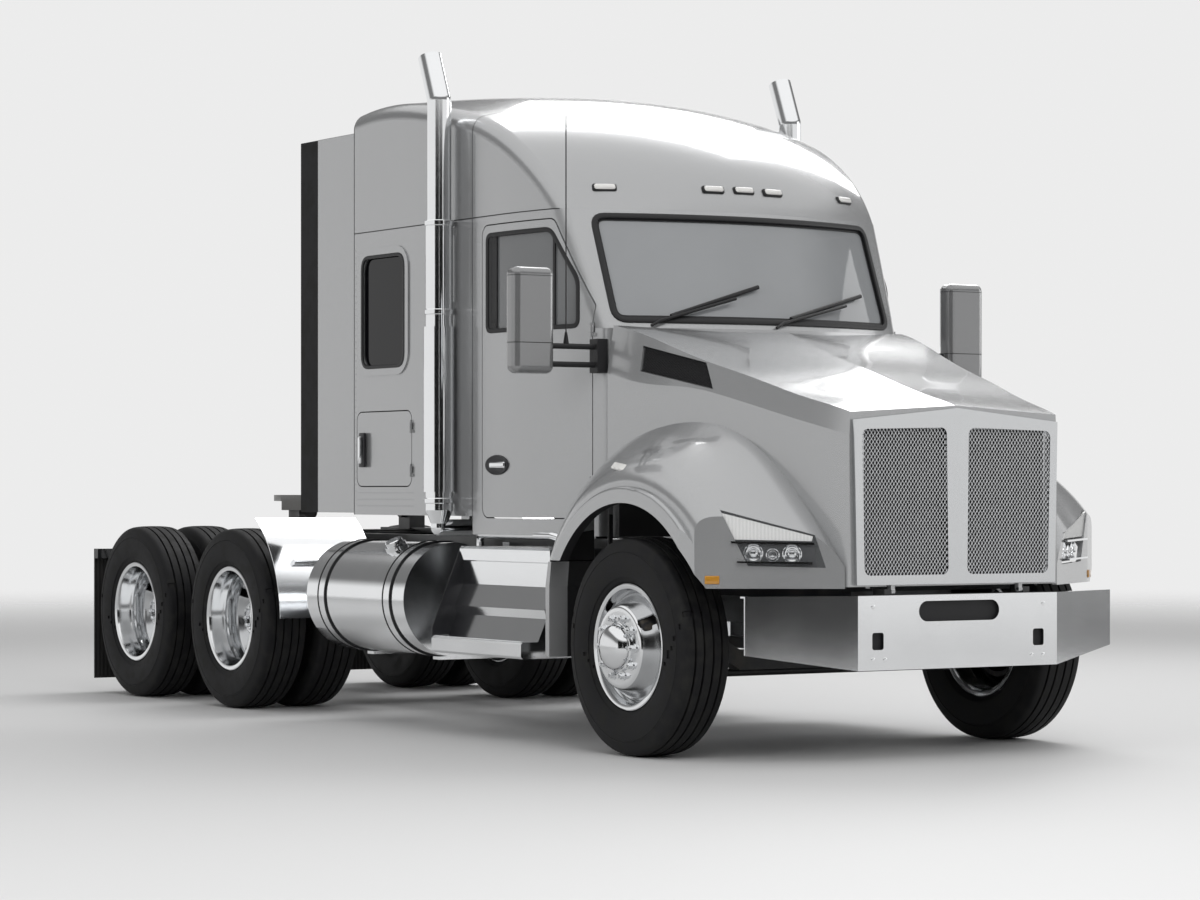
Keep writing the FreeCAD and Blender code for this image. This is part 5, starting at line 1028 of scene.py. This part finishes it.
# Exhaust stacks: a clamp at each joint of the pipes, and at each tip a dark disc across the
# mouth, partly the pipe's real soot and partly painted shade of its hollow inside.
soot_and_shade = finish("soot_and_shade", ((0.006, 0.006, 0.006), (0.03, 0.028, 0.026)), roughness=0.8,
              pattern=("noise", 60, 4))
for side, sign in sides.items():
    for word, z in (("low", 1.205), ("mid", 2.2), ("joint", 2.668)):
        clamp = spun("stack_clamp_%s_%s" % (word, side), [
            (0.0, 0.0695), (0.0, 0.0745), (0.004, 0.0775), (0.026, 0.0775), (0.03, 0.0745),
            (0.03, 0.0695)], 48, closed=True)
        moved(clamp, Matrix.Translation((sign * 1.133, row_y(1.925), z)) @ upright)
        settle(clamp, chassis, polished, "polished")
    # The disc across each mouth is partly real soot and partly painted shade of the pipe's hollow
    # inside.
    mouth = spun("stack_mouth_" + side, [
        (0.0015, 0.06), (0.002, 0.0585), (0.0012, 0.056), (0.0006, 0.03),
        (0.0004, 0.0)], 48)
    moved(mouth, Matrix.Translation((sign * 1.133, row_y(2.0257), 3.5697)) @
          Matrix.Rotation(math.radians(-22.8), 4, "X") @ upright)
    settle(mouth, chassis, soot_and_shade, "polished")

# Rivets: three rows along the foot of the sleeper's side and one up its rear end.
for side, sign in sides.items():
    for word, y, z, count, step in (("foot_low", 2.36, 1.19, 26, (0, 0.025, 0)),
                                    ("foot_mid", 2.36, 1.225, 26, (0, 0.025, 0)),
                                    ("foot_high", 2.36, 1.262, 26, (0, 0.025, 0)),
                                    ("rear", 3.012, 1.2, 40, (0, 0, 0.036))):
        row = moved(fresh("rivets_%s_%s" % (word, side), "uv_sphere", segments=8, ring_count=6,
                          radius=0.0042, scale=(0.5, 1, 1)))
        moved(repeated(row, count, step), Matrix.Translation((sign * 1.05, row_y(y), z)))
        settle(row, chassis, silver, "body_paint", smooth=60)


# Rear end: a red lamp with a chrome bezel on each flap bar beside the frame, bright bars with
# black end caps, and a weighted strip along the foot of each ribbed rubber flap. The frame's
# rails wear the same black paint as the bars.
bar_paint = finish("rail_and_bar_paint", (0.016, 0.017, 0.019), coat=0.25,
                   grain=(260, 2, 0.0004, 0.4))
x, y, z = bar_paint.axes(bar_paint.place())
bright = (abs(x) > 0.44).least(y > row_y(6.13)).least(z > 0.842).least(abs(x) < 1.195)
dust = bar_paint.noise(5.0, 4).step(0.45, 0.75)
feed(bar_paint, Metallic=bright,
     Base_Color=bar_paint.colour(bright, bar_paint.colour(
         dust, (0.01, 0.011, 0.012), (0.036, 0.035, 0.033)), (0.8, 0.81, 0.82)),
     Roughness=(1 - bright) * (dust * 0.25 + 0.24) + 0.12)
wear(bar_paint, "frame_rails")
flap_rubber = finish("flap_rubber", ((0.008, 0.008, 0.008), (0.022, 0.021, 0.02)),
                     pattern=("noise", 8, 4))
ribs = flap_rubber.wave("X", 12)
feed(flap_rubber, Roughness=ribs * 0.15 + 0.55)
relief(flap_rubber, ribs, 0.003, 0.8)
wear(flap_rubber, "mud_flaps")
red = finish("tail_lens", ((0.26, 0.006, 0.006), (0.58, 0.02, 0.018)), roughness=0.1,
             coat=0.8, pattern=("cells", 200), grain=(0.001, 0.5))
for side, sign in sides.items():
    for part, shape, y, material in (("bezel", (0.15, 0.016, 0.056), 6.194, chrome),
                                     ("lens", (0.134, 0.03, 0.042), 6.198, red)):
        settle(block("tail_%s_%s" % (part, side), shape, (sign * 0.515, row_y(y), 0.875),
                     0.006, 3), chassis, material, "lamp", smooth=40)
    settle(block("flap_strip_" + side, (0.6, 0.004, 0.045),
                 (sign * 0.91, row_y(6.2015), 0.118), 0.0015, 2), chassis, polished, "polished")
    for index in range(5):
        bolt = fresh("flap_bolt_%s_%d" % (side, index), "uv_sphere", segments=12, ring_count=6,
                     radius=0.01, location=(sign * (0.660 + index * 0.125), row_y(6.2), 0.87),
                     scale=(1, 0.5, 1))
        settle(bolt, chassis, chrome, "polished", smooth=60)

# Coupler: the cast plate is machined on top, wiped with grease round the throat, and has
# rolled grease grooves; four bolts hold each side of the saddle to the frame.
coupler = finish("coupler_plate", (0.06, 0.06, 0.058))
x, y, z = coupler.axes(coupler.place())
behind = y - row_y(4.96)
reach = (x * x + behind * behind).math("SQRT")
groove = line_at((reach * 9.0).math("FRACT"), 0.5, 0.06).least(z > 1.2445)
grease = (1 - reach.step(0.1, 0.42)) * coupler.noise(9, 5).step(0.3, 0.6)
feed(coupler, Base_Color=coupler.colour(grease.most(groove), (0.115, 0.113, 0.108),
                                        (0.018, 0.016, 0.013)),
     Roughness=grease * -0.15 + coupler.noise(60, 3) * 0.2 + 0.28, Metallic=(1 - grease) * 0.7)
relief(coupler, 1 - groove, 0.002, 0.7)
wear(coupler, "fifth_wheel_plate")
for side, sign in sides.items():
    for index, y in enumerate((4.7, 4.8, 5.12, 5.22)):
        nut = fresh("saddle_bolt_%s_%d" % (side, index), "cylinder", vertices=6, radius=0.015,
                    depth=0.018, location=(sign * 0.472, row_y(y), 1.029))
        bpy.ops.mesh.bevel(offset=0.002, segments=2)
        settle(nut, chassis, black_paint, "coupler")

# Edges: pressed and folded parts get the small round that their bends have.
for node in ("fifth_wheel_plate", "fifth_wheel_base", "side_extenders", "extender_edges",
             "door_left", "door_right", "luggage_door_left", "luggage_door_right", "mirrors"):
    for kind, settings in (
            ("WELD", {"merge_threshold": 0.00002}),
            ("BEVEL", {"width": 0.003, "segments": 2, "limit_method": "ANGLE",
                       "angle_limit": math.radians(38), "harden_normals": False}),
            ("WEIGHTED_NORMAL", {"keep_sharp": False})):
        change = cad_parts[node].modifiers.new(kind.lower(), kind)
        for word, value in settings.items():
            setattr(change, word, value)


# Seats and bunk: foam in a woven grey cover, sewn in channels, on moulded plastic bases. Each
# cushion is blown up by a cloth simulation that its sewn lines hold down.
cover = finish("seat_cover", (0.115, 0.12, 0.13))
thread = cover.wave("X", 320, 0.4) * 0.5 + cover.wave("Z", 320, 0.4) * 0.5
feed(cover, Roughness=thread * 0.15 + 0.78, Base_Color=cover.colour(
    thread * 0.7 + cover.noise(6, 4) * 0.3, (0.075, 0.08, 0.09), (0.17, 0.175, 0.185)))
relief(cover, thread, 0.0008, 0.6)
plastic = finish("seat_plastic", (0.035, 0.036, 0.038), roughness=(0.45, 0.65),
                 pattern=("noise", 150, 3), grain=(500, 2, 0.0004, 0.5))


def cushion(name, size, place, seams, voxel, replaced):
    """A sewn pad: a box that swells from its middle and stays down along its seams."""
    pad = moved(block(name, [side * 0.93 for side in size], bevel=0.04, segments=4))
    pad.data.remesh_voxel_size = voxel
    bpy.ops.object.voxel_remesh()
    held = pad.vertex_groups.new(name="sewn")
    start = [corner.co.copy() for corner in pad.data.vertices]
    held.add([index for index, co in enumerate(start)
              if any(abs(co[axis] - where) < voxel for axis, where in seams)],
             1.0, "REPLACE")
    fabric = pad.modifiers.new("fabric", "CLOTH")
    fabric.settings.use_pressure = True
    fabric.settings.uniform_pressure_force = 4
    fabric.settings.effector_weights.gravity = 0
    fabric.settings.vertex_group_mass = "sewn"
    fabric.point_cache.frame_end = 20
    for number in range(1, 21):
        bpy.context.scene.frame_set(number)
    swollen = pad.evaluated_get(bpy.context.evaluated_depsgraph_get()).to_mesh()
    ends = [corner.co.copy() for corner in swollen.vertices]
    pad.modifiers.remove(fabric)
    for corner, first, last in zip(pad.data.vertices, start, ends):
        way = last - first
        corner.co = first + way * min(1.0, 0.022 / max(way.length, 0.0001))
        for axis in range(3):
            corner.co[axis] = max(-size[axis] / 2, min(size[axis] / 2, corner.co[axis]))
    bpy.context.scene.frame_set(1)
    moved(pad, Matrix.Translation(place))
    return settle(pad, chassis, cover, "cloth", smooth=80, replaced=replaced)


seat_pad = cushion("seat_pad_left", (0.51, 0.5, 0.13), (0.49, row_y(1.37), 1.465),
                   ((0, -0.14), (0, 0.14)), 0.007, ("seats",))
seat_back = cushion("seat_back_left", (0.51, 0.12, 0.69), (0.49, row_y(1.685), 1.87),
                    ((2, -0.18), (2, 0.06)), 0.007, ("seats",))
seat_foot = fresh("seat_foot_left", "cube", size=1, location=(0.49, row_y(1.395), 1.245),
                  scale=(0.3, 0.37, 0.3))
for height in (1.145, 1.245, 1.345):
    bpy.ops.mesh.select_all(action="SELECT")
    bpy.ops.mesh.bisect(plane_co=(0, 0, height), plane_no=(0, 0, 1))
bpy.ops.mesh.select_all(action="SELECT")
bpy.ops.mesh.bevel(offset=0.012, segments=2)
settle(seat_foot, chassis, plastic, "trim", replaced=("seats",))
for piece, name, slot in ((seat_pad, "seat_pad_right", "cloth"),
                          (seat_back, "seat_back_right", "cloth"),
                          (seat_foot, "seat_foot_right", "trim")):
    other = copied(piece, name, flip, chassis, slot, replaced=("seats",))
    slot == "cloth"
cushion("bunk_pad", (1.96, 0.804, 0.14), (0, row_y(2.582), 1.83),
                    ((0, -0.6), (0, -0.2), (0, 0.2), (0, 0.6)), 0.012, ("bunk",))
bunk_front = block("bunk_front", (1.96, 0.04, 0.57), (0, row_y(2.2), 1.475), 0.008, 2)
settle(bunk_front, chassis, plastic, "trim", replaced=("bunk",))
